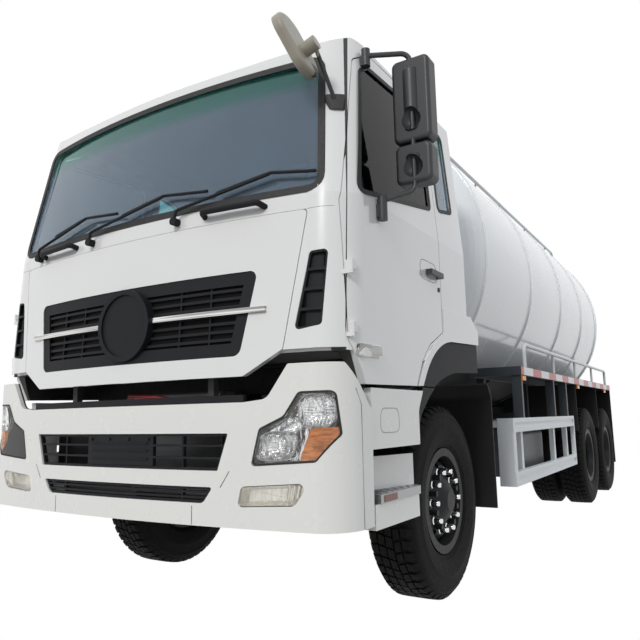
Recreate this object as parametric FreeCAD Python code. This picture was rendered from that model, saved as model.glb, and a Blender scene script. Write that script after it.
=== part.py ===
"""Three-axle sewage suction truck: forward-control cab, vacuum barrel, hose platforms.

Stations: +X is the truck's left side, +Y runs rearward from the bumper's face, +Z is up, in millimetres.
Every solid is moved by -ORIGIN_Y as it is written, so that the origin is on the ground at mid length.
"""

import FreeCAD, Part

import math
import os

V = FreeCAD.Vector

# Overall places along the truck, measured rearward from the bumper's face
FRONT_AXLE_Y = 1441.0
WHEELBASE = 4450.0
TANDEM = 1350.0
REAR_OVERHANG = 859.0
BUMPER_BAR_T = 60.0
TAIL_LAMP_T = 60.0
MID_AXLE_Y = FRONT_AXLE_Y + WHEELBASE
BOGIE_Y = MID_AXLE_Y + TANDEM / 2
RAIL_REAR = MID_AXLE_Y + TANDEM + REAR_OVERHANG
ORIGIN_Y = (RAIL_REAR + BUMPER_BAR_T + TAIL_LAMP_T) / 2

# Tyres and wheels
TYRE_R = 542.5
TYRE_W = 293.0
RIM_FLANGE_R = 297.0
RIM_W = 236.0
HUB_R = 128.0
STUD_CIRCLE_R = 167.5
STUD_COUNT = 10
SPINDLE_R = 40.0
SPINDLE_GAP = 0.1
FRONT_WHEEL_X = 1020.0
DUAL_INNER_X = 765.0
DUAL_SPACING = 330.0

# Chassis
RAIL_OUT_X = 430.0
RAIL_FLANGE = 80.0
RAIL_T = 8.0
RAIL_TOP = 1050.0
RAIL_H = 280.0
RAIL_FRONT = 560.0
KINGPIN_X = 850.0
KINGPIN_R = 24.0

# Cab
CAB_W = 1240.0
CAB_ROOF_W = 1165.0
CAB_REAR = 1700.0
CAB_ROOF = 3010.0
CAB_WALL = 60.0
CAB_FLOOR = 1320.0
CAB_FLOOR_T = 60.0
COWL_Z = 2045.0
FLAP_TOP = 1975.0
PANEL_T = 28.0
PANEL_GAP = 4.0
DOOR_GAP = 6.0
TILT_Y = 140.0
TILT_Z = 1100.0
TILT_PIN_R = 20.0
TILT_PIN_X = 500.0
DOOR_HINGE_X = 1236.0
DOOR_HINGE_Y = 207.0
DOOR_HINGE_R = 7.0
HINGE_TALL = 44.0
HINGE_STRAP = 20.0
DOOR_INNER_X = 1126.0
DOOR_SWEEP = 5.0
DOOR_HINGE_Z = (1420.0, 1700.0)
GLASS_T = 6.0
GLASS_INSET = 8.0
SEAL_GAP = 0.3

# Bumper
BUMPER_W = 1245.0
BUMPER_T = 32.0
BUMPER_BOTTOM = 565.0
BUMPER_TOP = 1105.0
BUMPER_EAR = 1265.0

# Barrel
TANK_R = 1170.0
TANK_LIFT = 66.0
TANK_Z = RAIL_TOP + TANK_LIFT + TANK_R
TANK_TOP = TANK_Z + TANK_R
TANK_WALL = 8.0
TANK_FRONT = 2450.0
TANK_BACK_OFF = 590.0
TANK_REAR = RAIL_REAR - TANK_BACK_OFF
HEAD_DEPTH = 290.0
BAND_W = 95.0
BAND_T = 14.0
BAND_SHARES = (0.2787, 0.5395, 0.7826)
BAND_Y = [TANK_FRONT + share * (TANK_REAR - TANK_FRONT) for share in BAND_SHARES]
MANHOLE_R = 250.0
MANHOLE_Y = 3750.0
MANHOLE_NECK = 104.0
MANHOLE_TOP = TANK_TOP + MANHOLE_NECK
HATCH_R = 300.0
PORT_R = 50.0
PORT_WALL = 6.0
PORT_LENGTH = 150.0

# Platforms, rails and guards
PLATFORM_IN = 800.0
PLATFORM_OUT = 1235.0
PLATFORM_Z = 1340.0
PLATFORM_H = 70.0
PLATFORM_FRONT = 2970.0
PLATFORM_REAR = RAIL_REAR - 240.0
RAIL_TUBE_R = 16.0
HOSE_RAIL_H = 190.0
HOSE_RAIL_POSTS = 5
GUARD_FRONT = 2640.0
GUARD_TO_AXLE = 891.0
GUARD_REAR = MID_AXLE_Y - GUARD_TO_AXLE
GUARD_POSTS = (GUARD_FRONT + 370.0, (GUARD_FRONT + GUARD_REAR) / 2 + 360.0, GUARD_REAR - 240.0)
GUARD_LOW = 500.0
GUARD_HIGH = 1000.0
GUARD_RAIL_H = 105.0

parts = {}


def box(x0, x1, y0, y1, z0, z1):
    return Part.makeBox(x1 - x0, y1 - y0, z1 - z0, V(x0, y0, z0))


def cyl(axis, centre, r, h):
    """A cylinder of length h whose middle is at centre."""
    d = {"x": V(1, 0, 0), "y": V(0, 1, 0), "z": V(0, 0, 1)}[axis]
    return Part.makeCylinder(r, h, centre - d * (h / 2), d)


def ring(axis, centre, r_out, r_in, h):
    return cyl(axis, centre, r_out, h).cut(cyl(axis, centre, r_in, h + 2))


def outline(points):
    """A closed wire through (u, v, radius) points, each corner rounded by its radius, in the XY plane."""
    pts = [V(p[0], p[1], 0) for p in points]
    radii = [p[2] if len(p) > 2 else 0 for p in points]
    ends = []
    edges = []
    count = len(pts)
    for i, p in enumerate(pts):
        before = (pts[i - 1] - p).normalize()
        after = (pts[(i + 1) % count] - p).normalize()
        if not radii[i]:
            ends.append((p, p))
            continue
        half = before.getAngle(after) / 2
        reach = radii[i] / math.tan(half)
        a, b = p + before * reach, p + after * reach
        middle = (before + after).normalize()
        top = p + middle * (radii[i] / math.sin(half) - radii[i])
        edges.append((i, Part.Arc(a, top, b).toShape()))
        ends.append((a, b))
    arcs = dict(edges)
    chain = []
    for i in range(count):
        if i in arcs:
            chain.append(arcs[i])
        a, b = ends[i][1], ends[(i + 1) % count][0]
        if (b - a).Length > 1e-6:
            chain.append(Part.LineSegment(a, b).toShape())
    return Part.Wire(chain)


PLANES = {
    "x": FreeCAD.Matrix(0, 0, 1, 0, 1, 0, 0, 0, 0, 1, 0, 0, 0, 0, 0, 1),
    "y": FreeCAD.Matrix(1, 0, 0, 0, 0, 0, -1, 0, 0, 1, 0, 0, 0, 0, 0, 1),
    "z": FreeCAD.Matrix(),
}


def prism(axis, points, low, high):
    """An outline pushed along an axis: (y, z) points along x, (x, z) points along y, (x, y) points along z."""
    face = Part.Face(outline(points))
    if axis == "y":
        solid = face.extrude(V(0, 0, high - low)).transformGeometry(PLANES["y"])
        return solid.translate(V(0, high, 0))
    solid = face.extrude(V(0, 0, high - low))
    if axis == "x":
        solid = solid.transformGeometry(PLANES["x"])
        return solid.translate(V(low, 0, 0))
    return solid.translate(V(0, 0, low))


def tube(points, r, bend):
    """A round bar or pipe along straight runs joined by bends."""
    pts = [V(*p) for p in points]
    edges = []
    start = pts[0]
    for i in range(1, len(pts) - 1):
        before = (pts[i - 1] - pts[i]).normalize()
        after = (pts[i + 1] - pts[i]).normalize()
        half = before.getAngle(after) / 2
        reach = bend / math.tan(half)
        a, b = pts[i] + before * reach, pts[i] + after * reach
        top = pts[i] + (before + after).normalize() * (bend / math.sin(half) - bend)
        if (a - start).Length > 1e-6:
            edges.append(Part.LineSegment(start, a).toShape())
        edges.append(Part.Arc(a, top, b).toShape())
        start = b
    edges.append(Part.LineSegment(start, pts[-1]).toShape())
    path = Part.Wire(edges)
    direction = (pts[1] - pts[0]).normalize()
    section = Part.Wire([Part.makeCircle(r, pts[0], direction)])
    return path.makePipeShell([section], True, True)


def revolve(profile, centre, axis):
    """Turns (along, radius) points about an axis through centre."""
    pts = [V(a, r, 0) for a, r in profile]
    face = Part.Face(Part.makePolygon(pts + [pts[0]]))
    solid = face.revolve(V(0, 0, 0), V(1, 0, 0), 360)
    turn = {"x": FreeCAD.Rotation(), "y": FreeCAD.Rotation(V(1, 0, 0), V(0, 1, 0)),
            "z": FreeCAD.Rotation(V(1, 0, 0), V(0, 0, 1))}[axis]
    solid.Placement = FreeCAD.Placement(centre, turn)
    return solid


def fuse(shapes):
    first = shapes[0]
    return first.multiFuse(shapes[1:]).removeSplitter() if len(shapes) > 1 else first


def mirrored(shape):
    return shape.mirror(V(0, 0, 0), V(1, 0, 0))


def both_sides(shape):
    return Part.makeCompound([shape, mirrored(shape)])


def add(name, shape):
    parts[name] = shape


# Cab body

CAB_SECTIONS = [
    # (height, front face at the centre, half width)
    (1150.0, 10.0, CAB_W),
    (COWL_Z, 68.0, CAB_W),
    (CAB_ROOF, 255.0, CAB_ROOF_W),
]
NOSE_BOW = 95.0
NOSE_HALF = 1040.0
CORNER_BACK = 265.0


def cab_level(z):
    """The nose's station on the centre line and the half width at a height."""
    for (z0, f0, w0), (z1, f1, w1) in zip(CAB_SECTIONS, CAB_SECTIONS[1:]):
        if z <= z1:
            t = (z - z0) / (z1 - z0)
            return f0 + (f1 - f0) * t, w0 + (w1 - w0) * t
    return CAB_SECTIONS[-1][1:]


def nose_line(z, inset, back):
    """The bowed nose and its rounded corners at one height, as edges from the right side round to the left."""
    front, half = cab_level(z)
    nose, side = NOSE_HALF * half / CAB_W - inset, half - inset
    y0, y2 = front + inset, front + CORNER_BACK + inset * 0.3
    y1 = y0 + NOSE_BOW
    corner_x, corner_y = side - 0.27 * (side - nose), y1 + 0.40 * (y2 - y1) - 12
    return [
        Part.LineSegment(V(-side, back, z), V(-side, y2, z)).toShape(),
        Part.Arc(V(-side, y2, z), V(-corner_x, corner_y, z), V(-nose, y1, z)).toShape(),
        Part.Arc(V(-nose, y1, z), V(0, y0, z), V(nose, y1, z)).toShape(),
        Part.Arc(V(nose, y1, z), V(corner_x, corner_y, z), V(side, y2, z)).toShape(),
        Part.LineSegment(V(side, y2, z), V(side, back, z)).toShape(),
    ]


def stage(upper):
    """The heights between which the nose is one ruled face: below or above the waist."""
    return (COWL_Z, CAB_ROOF) if upper else (CAB_SECTIONS[0][0], COWL_Z)


def nose_solid(inset, upper=False, back=520.0):
    """One stage of the nose, drawn inward by inset and closed behind."""
    wires = []
    for z in stage(upper):
        edges = nose_line(z, inset, back)
        side = cab_level(z)[1] - inset
        edges.append(Part.LineSegment(V(side, back, z), V(-side, back, z)).toShape())
        wires.append(Part.Wire(edges))
    return Part.makeLoft(wires, True, True)


def nose_slab(near, far, upper=False, back=520.0):
    """A plate bent round one stage of the nose, between two depths under its face."""
    wires = []
    for z in stage(upper):
        outer = nose_line(z, near, back)
        inner = nose_line(z, far, back)[::-1]
        half = cab_level(z)[1]
        ends = [Part.LineSegment(V(side * (half - near), back, z), V(side * (half - far), back, z)).toShape()
                for side in (1, -1)]
        wires.append(Part.Wire(outer + [ends[0]] + inner + [ends[1]]))
    return Part.makeLoft(wires, True, True)


def cab_form(inset):
    """The cab's outer form, drawn inward by inset."""
    back, top = CAB_REAR - inset, CAB_ROOF - inset
    body = nose_solid(inset, False, back).fuse(nose_solid(inset, True, back))
    side_view = [
        (-200, 1100, 0), (-200, 2860 - inset, 0), (250 + inset, 2862 - inset, 120),
        (640, top, 500), (back + 100, top - 10, 0), (back + 100, 1100, 0),
    ]
    front_view = [
        (-1400, 1100, 0), (-1400, 2700, 0), (-CAB_ROOF_W - 40 + inset, 2900 - inset, 110),
        (-980, top, 180), (980, top, 180), (CAB_ROOF_W + 40 - inset, 2900 - inset, 110),
        (1400, 2700, 0), (1400, 1100, 0),
    ]
    body = body.common(prism("x", side_view, -1400, 1400))
    return body.common(prism("y", front_view, -300, 1800))


def side_plate(near, far, y0, y1):
    """A flat plate along the left side above the waist, between two depths under its face."""
    low, high = COWL_Z, CAB_ROOF
    return prism("y", [(CAB_W - near, low), (CAB_ROOF_W - near, high), (CAB_ROOF_W - far, high),
                       (CAB_W - far, low)], y0, y1)


DOOR_OUTLINE = [
    # (station, height, corner radius), from the front lower corner round
    (296, 1168, 12), (868, 1178, 10), (955, 1316, 120), (1062, 1410, 160), (1268, 1500, 20),
    (1268, 2905, 60), (560, 2890, 60), (404, 2800, 40), (208, 2010, 40), (203, 1360, 20),
]
DOOR_WINDOW = [
    (300, 2062, 40), (1192, 2222, 30), (1192, 2838, 50), (520, 2800, 60), (436, 2740, 40),
]
REAR_WINDOW = [(1322, 2248, 30), (1560, 2296, 40), (1545, 2800, 60), (1322, 2835, 40)]


def grown(points, d):
    """The outline's points moved outward by d (inward where d is negative), corner radii kept in step."""
    wire = outline([(p[0], p[1]) for p in points])
    moved = wire.makeOffset2D(d, 2)
    return [(v.Point.x, v.Point.y, max(p[2] + d, 1)) for v, p in zip(ordered(moved, points), points)]


def ordered(wire, points):
    """The wire's vertices in the order of the points that they came from."""
    found = []
    for p in points:
        found.append(min(wire.Vertexes, key=lambda v: (v.Point - V(p[0], p[1], 0)).Length))
    return found


SCREEN_OUTLINE = [(-1105, 2075, 60), (1105, 2075, 60), (1045, 2790, 90), (-1045, 2790, 90)]
FLAP_OUTLINE = [
    (-740, 1222, 30), (740, 1222, 30), (935, 1335, 20), (1040, FLAP_TOP, 20),
    (-1040, FLAP_TOP, 20), (-935, 1335, 20),
]
GRILLE_OUTLINE = [(-718, 1315, 45), (718, 1315, 45), (799, 1712, 35), (-799, 1712, 35)]
VENT_OUTLINE = [(988, 1414, 20), (1120, 1432, 20), (1142, 1776, 20), (1056, 1770, 20)]
CORNER_LOW = 1332.0
SCREEN_REACH = 430.0
ARCH_CUT = [
    # what the cab's sides leave free for the wheel arch's lip
    (862, 1100, 0), (862, 1184, 0), (884, 1184, 0), (966, 1308, 120), (1072, 1400, 160), (1276, 1496, 10),
    (1276, 1640, 0), (1810, 1653, 0), (1810, 1100, 0),
]


BACK_WINDOW = [(-560, 2250, 60), (560, 2250, 60), (560, 2750, 60), (-560, 2750, 60)]


def cab():
    wall = cab_form(0).cut(cab_form(CAB_WALL))
    shut = DOOR_OUTLINE[9][0] - DOOR_GAP
    behind = nose_slab(-2, PANEL_T + SEAL_GAP).common(box(-1400, 1400, -300, shut, 1100, FLAP_TOP + 2))
    door_hole = prism("x", DOOR_OUTLINE, 1000, 1400)
    quarter_hole = prism("x", REAR_WINDOW, 1000, 1400)
    shell = wall.cut(box(-1400, 1400, -300, 1800, 1100, CAB_FLOOR))
    arch = prism("x", grown(ARCH_CUT, SEAL_GAP), 1000, 1400)
    shell = shell.cut(Part.makeCompound([
        arch, mirrored(arch), behind, door_hole, mirrored(door_hole), quarter_hole, mirrored(quarter_hole),
        prism("y", SCREEN_OUTLINE, -200, SCREEN_REACH), prism("y", BACK_WINDOW, 1600, 1800)]))
    floor = cab_floor(CAB_WALL - 1).cut(Part.makeCompound([door_hole, mirrored(door_hole)]))
    swing = cyl("z", V(DOOR_HINGE_X, DOOR_HINGE_Y, CAB_FLOOR), DOOR_HINGE_X - DOOR_INNER_X + 12, 200)
    floor = floor.fuse(cab_floor(CAB_WALL + DOOR_GAP)).cut(Part.makeCompound([swing, mirrored(swing)]))
    tunnel = box(-290, 290, 420, 1640, CAB_FLOOR + CAB_FLOOR_T - 1, CAB_FLOOR + 290)
    straps = []
    for z in DOOR_HINGE_Z:
        below = z - HINGE_TALL / 2 - SEAL_GAP - HINGE_STRAP / 2
        straps.append(cyl("z", V(DOOR_HINGE_X, DOOR_HINGE_Y, below), DOOR_HINGE_R, HINGE_STRAP))
        straps.append(box(CAB_W - CAB_WALL, DOOR_HINGE_X, shut + SEAL_GAP, DOOR_HINGE_Y - 2.5,
                          below - HINGE_STRAP / 2, below + HINGE_STRAP / 2))
    straps += [mirrored(s) for s in straps]
    add("cab_shell", fuse([max(shell.Solids, key=lambda s: s.Volume), floor, tunnel] + tilt_lugs() + straps))

    skin = nose_slab(0, PANEL_T)
    grille_hole = prism("y", GRILLE_OUTLINE, -200, 500)
    vent_hole = prism("y", VENT_OUTLINE, -200, 500)
    centre = skin.common(prism("y", FLAP_OUTLINE, -200, 420)).cut(grille_hole)
    corners = skin.common(box(-1400, 1400, -300, shut, CORNER_LOW, FLAP_TOP))
    corners = corners.cut(Part.makeCompound([
        prism("y", grown(FLAP_OUTLINE, PANEL_GAP), -200, 500), vent_hole, mirrored(vent_hole)]))
    corners = [s for s in corners.Solids if s.BoundBox.XLength > 100 and s.BoundBox.ZLength > 300]
    add("front_panels", Part.makeCompound(centre.Solids + corners))
    grilles()

    screen = nose_slab(GLASS_INSET, GLASS_INSET + GLASS_T, True)
    pane = screen.common(prism("y", grown(SCREEN_OUTLINE, -SEAL_GAP), -200, SCREEN_REACH - 1))
    quarter = side_plate(GLASS_INSET, GLASS_INSET + GLASS_T, 1200, 1650)
    quarter = quarter.common(prism("x", grown(REAR_WINDOW, -SEAL_GAP), 1000, 1400))
    back = prism("y", grown(BACK_WINDOW, -SEAL_GAP), CAB_REAR - GLASS_INSET - GLASS_T, CAB_REAR - GLASS_INSET)
    add("cab_glass", Part.makeCompound(pane.Solids + [quarter, mirrored(quarter), back]))
    doors(wall)


def cab_floor(inset):
    """The floor plate, from its edge inside the walls' face by inset."""
    edge = nose_line(CAB_FLOOR, inset, CAB_REAR - CAB_WALL + 1)
    edge.append(Part.LineSegment(edge[-1].Vertexes[1].Point, edge[0].Vertexes[0].Point).toShape())
    return Part.Face(Part.Wire(edge)).extrude(V(0, 0, CAB_FLOOR_T))


def tilt_lugs():
    """The cab's two front hinge lugs with their pins."""
    lug = box(TILT_PIN_X - 18, TILT_PIN_X + 18, TILT_Y - 18, TILT_Y + 18, TILT_Z, CAB_FLOOR + 1)
    boss = cyl("x", V(TILT_PIN_X, TILT_Y, TILT_Z), 32, 50)
    pin = cyl("x", V(TILT_PIN_X, TILT_Y, TILT_Z), TILT_PIN_R, 110)
    foot = box(TILT_PIN_X - 60, TILT_PIN_X + 60, TILT_Y - 18, TILT_Y + 160, CAB_FLOOR - 25, CAB_FLOOR + 1)
    one = fuse([lug, boss, pin, foot])
    return [one, mirrored(one)]


SLATS = 7
DIVIDERS = (-540.0, -360.0, 360.0, 540.0)
DISC_R = 186.0
DISC_Z = 1515.0
BAR_HALF = 850.0


def grilles():
    """The black main grille with its slats and round boss, the two corner vents and the bright bar."""
    low, high = GRILLE_OUTLINE[0][1], GRILLE_OUTLINE[2][1]
    inner_hole = prism("y", grown(GRILLE_OUTLINE, -62), -200, 300)
    body = nose_slab(4, PANEL_T).common(
        prism("y", grown(GRILLE_OUTLINE, -SEAL_GAP), -200, 300))
    frame = body.cut(inner_hole)
    pitch = (high - low - 124) / SLATS
    rows = [low + 62 + pitch * (i + 0.32) for i in range(SLATS)]
    bars = [box(-900, 900, -200, 300, z, z + pitch * 0.36) for z in rows]
    bars += [box(x - 4, x + 4, -200, 300, low, high) for x in DIVIDERS]
    grown_hole = prism("y", grown(GRILLE_OUTLINE, -60), -200, 300)
    filling = nose_slab(10, PANEL_T - 3).common(fuse(bars)).common(grown_hole)
    backing = nose_slab(PANEL_T - 4, PANEL_T).common(grown_hole)
    disc = cyl("y", V(0, 34, DISC_Z), DISC_R, 52)
    disc = disc.cut(cyl("y", V(0, 8, DISC_Z), DISC_R - 26, 20)).cut(nose_solid(PANEL_T))
    main = fuse([frame, disc, backing] + filling.Solids)
    vent_zone = nose_slab(4, PANEL_T).common(prism("y", grown(VENT_OUTLINE, -SEAL_GAP), -200, DOOR_HINGE_Y - 11))
    fins = [box(900, 1300, -200, 500, z, z + 14) for z in (1500, 1590, 1680)]
    pocket = nose_slab(-4, PANEL_T - 8).common(prism("y", grown(VENT_OUTLINE, -10), -200, 500))
    vent = vent_zone.cut(pocket.cut(Part.makeCompound(fins)))
    add("main_grille", Part.makeCompound([main, vent, mirrored(vent)]))
    bar = nose_slab(-12, -SEAL_GAP).common(box(-BAR_HALF, BAR_HALF, -200, 300, DISC_Z - 4, DISC_Z + 22))
    bar = bar.cut(cyl("y", V(0, 34, DISC_Z), DISC_R + SEAL_GAP, 200))
    add("grille_bar", Part.makeCompound(bar.Solids))


def doors(wall):
    """Each door is the cab's side wall inside the shut line, with its own pane and fittings."""
    slab = prism("x", grown(DOOR_OUTLINE, -DOOR_GAP), 1000, 1400)
    leaf = wall.common(slab).cut(prism("x", DOOR_WINDOW, 1000, 1400))
    leaf = max(leaf.Solids, key=lambda s: s.Volume)
    leaf = leaf.cut(box(900, DOOR_INNER_X, 150, 1300, 1100, 2950))
    reach = DOOR_OUTLINE[4][0] - DOOR_HINGE_Y - DOOR_SWEEP
    leaf = leaf.common(cyl("z", V(DOOR_HINGE_X, DOOR_HINGE_Y, 2000), reach, 2400))
    lining = box(CAB_W - CAB_WALL - 3, CAB_W - CAB_WALL + 1, 420, 1180, 1530, 1950)
    hinges = [cyl("z", V(DOOR_HINGE_X, DOOR_HINGE_Y, z), DOOR_HINGE_R, HINGE_TALL) for z in DOOR_HINGE_Z]
    hinges += [box(DOOR_HINGE_X - 48, DOOR_HINGE_X + 5, DOOR_HINGE_Y + 5, DOOR_HINGE_Y + 33,
                   z - HINGE_TALL / 2, z + HINGE_TALL / 2) for z in DOOR_HINGE_Z]
    leaf = fuse([leaf, lining] + hinges)
    pane = side_plate(GLASS_INSET, GLASS_INSET + GLASS_T, 250, 1250)
    pane = pane.common(prism("x", grown(DOOR_WINDOW, -SEAL_GAP), 1000, 1400))
    fittings = mirror_set()
    for side, place in (("left", lambda s: s), ("right", mirrored)):
        add("door_" + side, place(leaf))
        add("door_glass_" + side, place(pane))
        add("mirror_" + side, place(fittings))


MIRROR_X = 1400.0
MIRROR_Y = 600.0
MIRROR_SEAM_Z = 2357.0
MIRROR_DEPTH = 90.0
MIRROR_EDGE_R = 20.0
MIRROR_BAR_R = 13.0
MIRROR_HEADS = [
    # (width, height, middle height, height of the scoop that shows the bar)
    (200.0, 440.0, MIRROR_SEAM_Z + 225.0, MIRROR_SEAM_Z + 115.0),
    (190.0, 205.0, MIRROR_SEAM_Z - 107.5, MIRROR_SEAM_Z - 130.0),
]


def mirror_head(w, h, z, scoop_z):
    """A mirror housing with rounded front edges, a raised back for the bar and a scoop that bares it."""
    front = MIRROR_Y - MIRROR_DEPTH / 2
    shell = prism("y", [(MIRROR_X - w / 2, z - h / 2, 32), (MIRROR_X + w / 2, z - h / 2, 32),
                        (MIRROR_X + w / 2, z + h / 2, 32), (MIRROR_X - w / 2, z + h / 2, 32)],
                  front, front + MIRROR_DEPTH)
    shell = shell.makeFillet(MIRROR_EDGE_R, [e for e in shell.Edges if e.BoundBox.YMax < front + 1])
    ridge = cyl("z", V(MIRROR_X, front + 16, z), 40, h - 110)
    ridge = ridge.makeFillet(18, [e for e in ridge.Edges if e.Curve.TypeId == "Part::GeomCircle"])
    scoop = Part.makeSphere(58, V(MIRROR_X, front - 28, scoop_z))
    return shell.fuse(ridge).cut(scoop)


def mirror_set():
    """Two mirror heads on one bent bar between an upper and a lower bracket, and the door's pull handle."""
    heads = [mirror_head(*row) for row in MIRROR_HEADS]
    low_z, top_z = MIRROR_SEAM_Z - 247, MIRROR_SEAM_Z + 473
    bar_y = MIRROR_Y - MIRROR_DEPTH / 2 + 14
    bracket_y = MIRROR_Y - 120
    bar = tube([(CAB_W + 22, bracket_y, low_z - 50), (MIRROR_X, bar_y, low_z), (MIRROR_X, bar_y, top_z),
                (CAB_W - 32, bracket_y - 12, top_z)], MIRROR_BAR_R, 45)
    low = cyl("z", V(CAB_W + 24, bracket_y, low_z - 90), 24, 115)
    low_foot = box(CAB_W, CAB_W + 26, bracket_y - 22, bracket_y + 22, low_z - 135, low_z - 70)
    top = cyl("z", V(CAB_W - 34, bracket_y - 12, top_z - 12), 22, 92)
    return fuse(heads + [bar, low, low_foot, top, mirror_top_foot(bracket_y - 12, top_z - 30), door_handle()])


def mirror_top_foot(y, z):
    """A wedge that reaches from the upper bracket in to the leaning door frame."""
    reach = box(1100, CAB_W - 30, y - 20, y + 20, z - 26, z + 26)
    return reach.cut(side_plate(-SEAL_GAP, 500, 200, 800))


def door_handle():
    """The pull handle's bar on its two feet."""
    grip = box(CAB_W + 22, CAB_W + 38, 1050, 1225, 1805, 1835)
    feet = [box(CAB_W, CAB_W + 24, y, y + 28, 1805, 1835) for y in (1050, 1197)]
    return fuse([grip] + feet)


WIPERS = [
    # (pivot x, blade middle x)
    (313.0, 850.0), (-336.0, 210.0), (-877.0, -420.0),
]


def screen_point(x, z, out):
    """A point at (x, z) that stands out from the windscreen's or panel's face."""
    return (x, cab_level(z)[0] + NOSE_BOW * (x / NOSE_HALF) ** 2 - out, z)


def cab_outside():
    """What is bolted to the outside of the cab: wipers, grab handles and the kerb mirror."""
    skin = nose_solid(-SEAL_GAP)
    arms = []
    for pivot, middle in WIPERS:
        base = tube([screen_point(pivot, 2018, -20), screen_point(pivot, 2018, 40)], 20, 1).cut(skin)
        arm = tube([screen_point(pivot, 2018, 30), screen_point(pivot + 20, 2070, 42),
                    screen_point(middle, 2175, 30)], 8, 20)
        blade = tube([screen_point(middle - 290, 2128, 26), screen_point(middle, 2182, 26),
                      screen_point(min(middle + 290, 1085), 2150, 26)], 8, 60)
        arms.append(fuse([base, arm, blade]))
    for side in (-1, 1):
        ends = [screen_point(side * x, 2012, -20) for x in (480, 830)]
        tops = [screen_point(side * x, 2030, 45) for x in (500, 810)]
        arms.append(tube([ends[0], tops[0], tops[1], ends[1]], 15, 25).cut(skin))
    add("wipers", Part.makeCompound([max(a.Solids, key=lambda s: s.Volume) for a in arms]))

    add("kerb_mirror", kerb_mirror())


KERB_HEAD = (1030.0, 100.0, 2753.0)
KERB_BACK = (0.938, 0.046, 0.345)
KERB_DOWN = (0.297, 0.411, -0.862)
KERB_FOOT = (1122.0, 294.0, 2535.0)


def kerb_mirror():
    """The oval mirror over the windscreen's corner, on a round joint and an arm from the pillar."""
    back, down = V(*KERB_BACK).normalize(), V(*KERB_DOWN).normalize()
    turn = FreeCAD.Rotation(down, back.cross(down), back, "ZXY")
    head = prism("z", [(-165, -105, 98), (165, -105, 98), (165, 105, 98), (-165, 105, 98)], -24, 24)
    head = head.makeFillet(18, [e for e in head.Edges if e.BoundBox.ZMin > 23])
    joint = Part.makeCylinder(34, 74, V(40, 0, 20))
    head = head.fuse(joint)
    head.Placement = FreeCAD.Placement(V(*KERB_HEAD), turn)
    start = V(*KERB_HEAD) + back * 80 + down * 40
    foot = V(*KERB_FOOT)
    arm = Part.makeCylinder(10, (foot - start).Length + 14, start, foot - start)
    plate = box(foot.x - 40, foot.x + 40, foot.y - 26, foot.y + 26, foot.z - 50, foot.z + 34)
    skin = nose_solid(-SEAL_GAP, True)
    near = nose_solid(-9, True)
    return fuse([head, arm.cut(skin), max(plate.common(near).cut(skin).Solids, key=lambda s: s.Volume)])


ARCH_WHITE = [
    # the white lip over the wheel, (station, height, radius), outer edge then inner edge
    (884, 1184, 0), (966, 1308, 450), (1072, 1400, 450), (1276, 1496, 10), (1276, 1640, 0),
    (1757, 1652, 60), (1896, 1564, 30), (1884, 1480, 8), (1290, 1454, 560), (1060, 1346, 520), (934, 1186, 0),
]
ARCH_BLACK = [
    (936, 1186, 0), (1061, 1343, 519), (1291, 1451, 559), (1884, 1477, 8), (1884, 1299, 8),
    (1400, 1276, 900), (1180, 1214, 400), (1128, 1186, 0),
]
ARCH_IN_X = 760.0


def fenders():
    """The cab's share of each front wheel arch: a white lip with a black band and inner roof."""
    lip = prism("x", ARCH_WHITE, CAB_W - 45, CAB_W + 6)
    tail = box(CAB_W - 200, CAB_W + 6, CAB_REAR + 1, 1884, 1480, 1600)
    lip = fuse([lip, tail.common(prism("x", ARCH_WHITE, 900, 1300))])
    band = prism("x", ARCH_BLACK, CAB_W - 40, CAB_W - 8)
    roof_line = [(1128, 1188, 0), (1182, 1216, 400), (1402, 1278, 900), (1880, 1302, 0),
                 (1880, CAB_FLOOR, 0), (1396, CAB_FLOOR, 260), (1172, 1238, 150), (1108, 1200, 0)]
    roof = prism("x", roof_line, ARCH_IN_X, CAB_W - 38)
    add("cab_fenders", both_sides(lip))
    add("fender_lips", both_sides(fuse([band, roof])))


WHEEL_CENTRE = (-560.0, 640.0, 2050.0)
WHEEL_AXIS = (0.0, 0.6, 0.8)


def cab_inside():
    """Dashboard, column and wheel on the right, and three seats."""
    base = CAB_FLOOR + CAB_FLOOR_T
    dash = prism("x", [(190, 1750, 20), (520, 1750, 40), (500, 1990, 50), (210, 2030, 30)], -1150, 1150)
    dash = dash.common(prism("z", [(-1120, 345), (-900, 235), (900, 235), (1120, 345), (1120, 600), (-1120, 600)],
                             1700, 2100))
    leg = box(-200, 200, 230, 420, base, 1752)
    tilt = FreeCAD.Rotation(V(0, 0, 1), V(*WHEEL_AXIS))
    place = FreeCAD.Placement(V(*WHEEL_CENTRE), tilt)
    column = Part.makeCylinder(34, 260, V(0, 0, -20.3 - 260))
    column.Placement = place
    rim = Part.makeTorus(225, 17, V(0, 0, 0), V(0, 0, 1))
    spokes = [box(-222, 222, -16, 16, -10, 10), box(-16, 16, -222, 0, -10, 10)]
    boss = cyl("z", V(0, 0, 0), 55, 40)
    wheel = fuse([rim, boss] + spokes)
    wheel.Placement = place
    add("dashboard", fuse([dash, leg, column]))
    add("steering_wheel", wheel)
    seats = []
    for x in (-560, 560):
        cushion = prism("x", [(830, base + 270, 40), (1340, base + 240, 40), (1340, base + 370, 40),
                              (830, base + 400, 60)], x - 250, x + 250)
        back = prism("x", [(1270, base + 360, 20), (1400, base + 360, 20), (1500, base + 990, 50),
                           (1400, base + 990, 50)], x - 240, x + 240)
        rest = prism("x", [(1405, base + 980, 20), (1490, base + 980, 20), (1510, base + 1180, 40),
                           (1430, base + 1180, 40)], x - 130, x + 130)
        stand = box(x - 180, x + 180, 900, 1300, base, base + 262)
        seats.append(fuse([cushion, back, rest, stand]))
    add("seats", Part.makeCompound(seats))


# Bumper, lamps and steps

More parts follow.
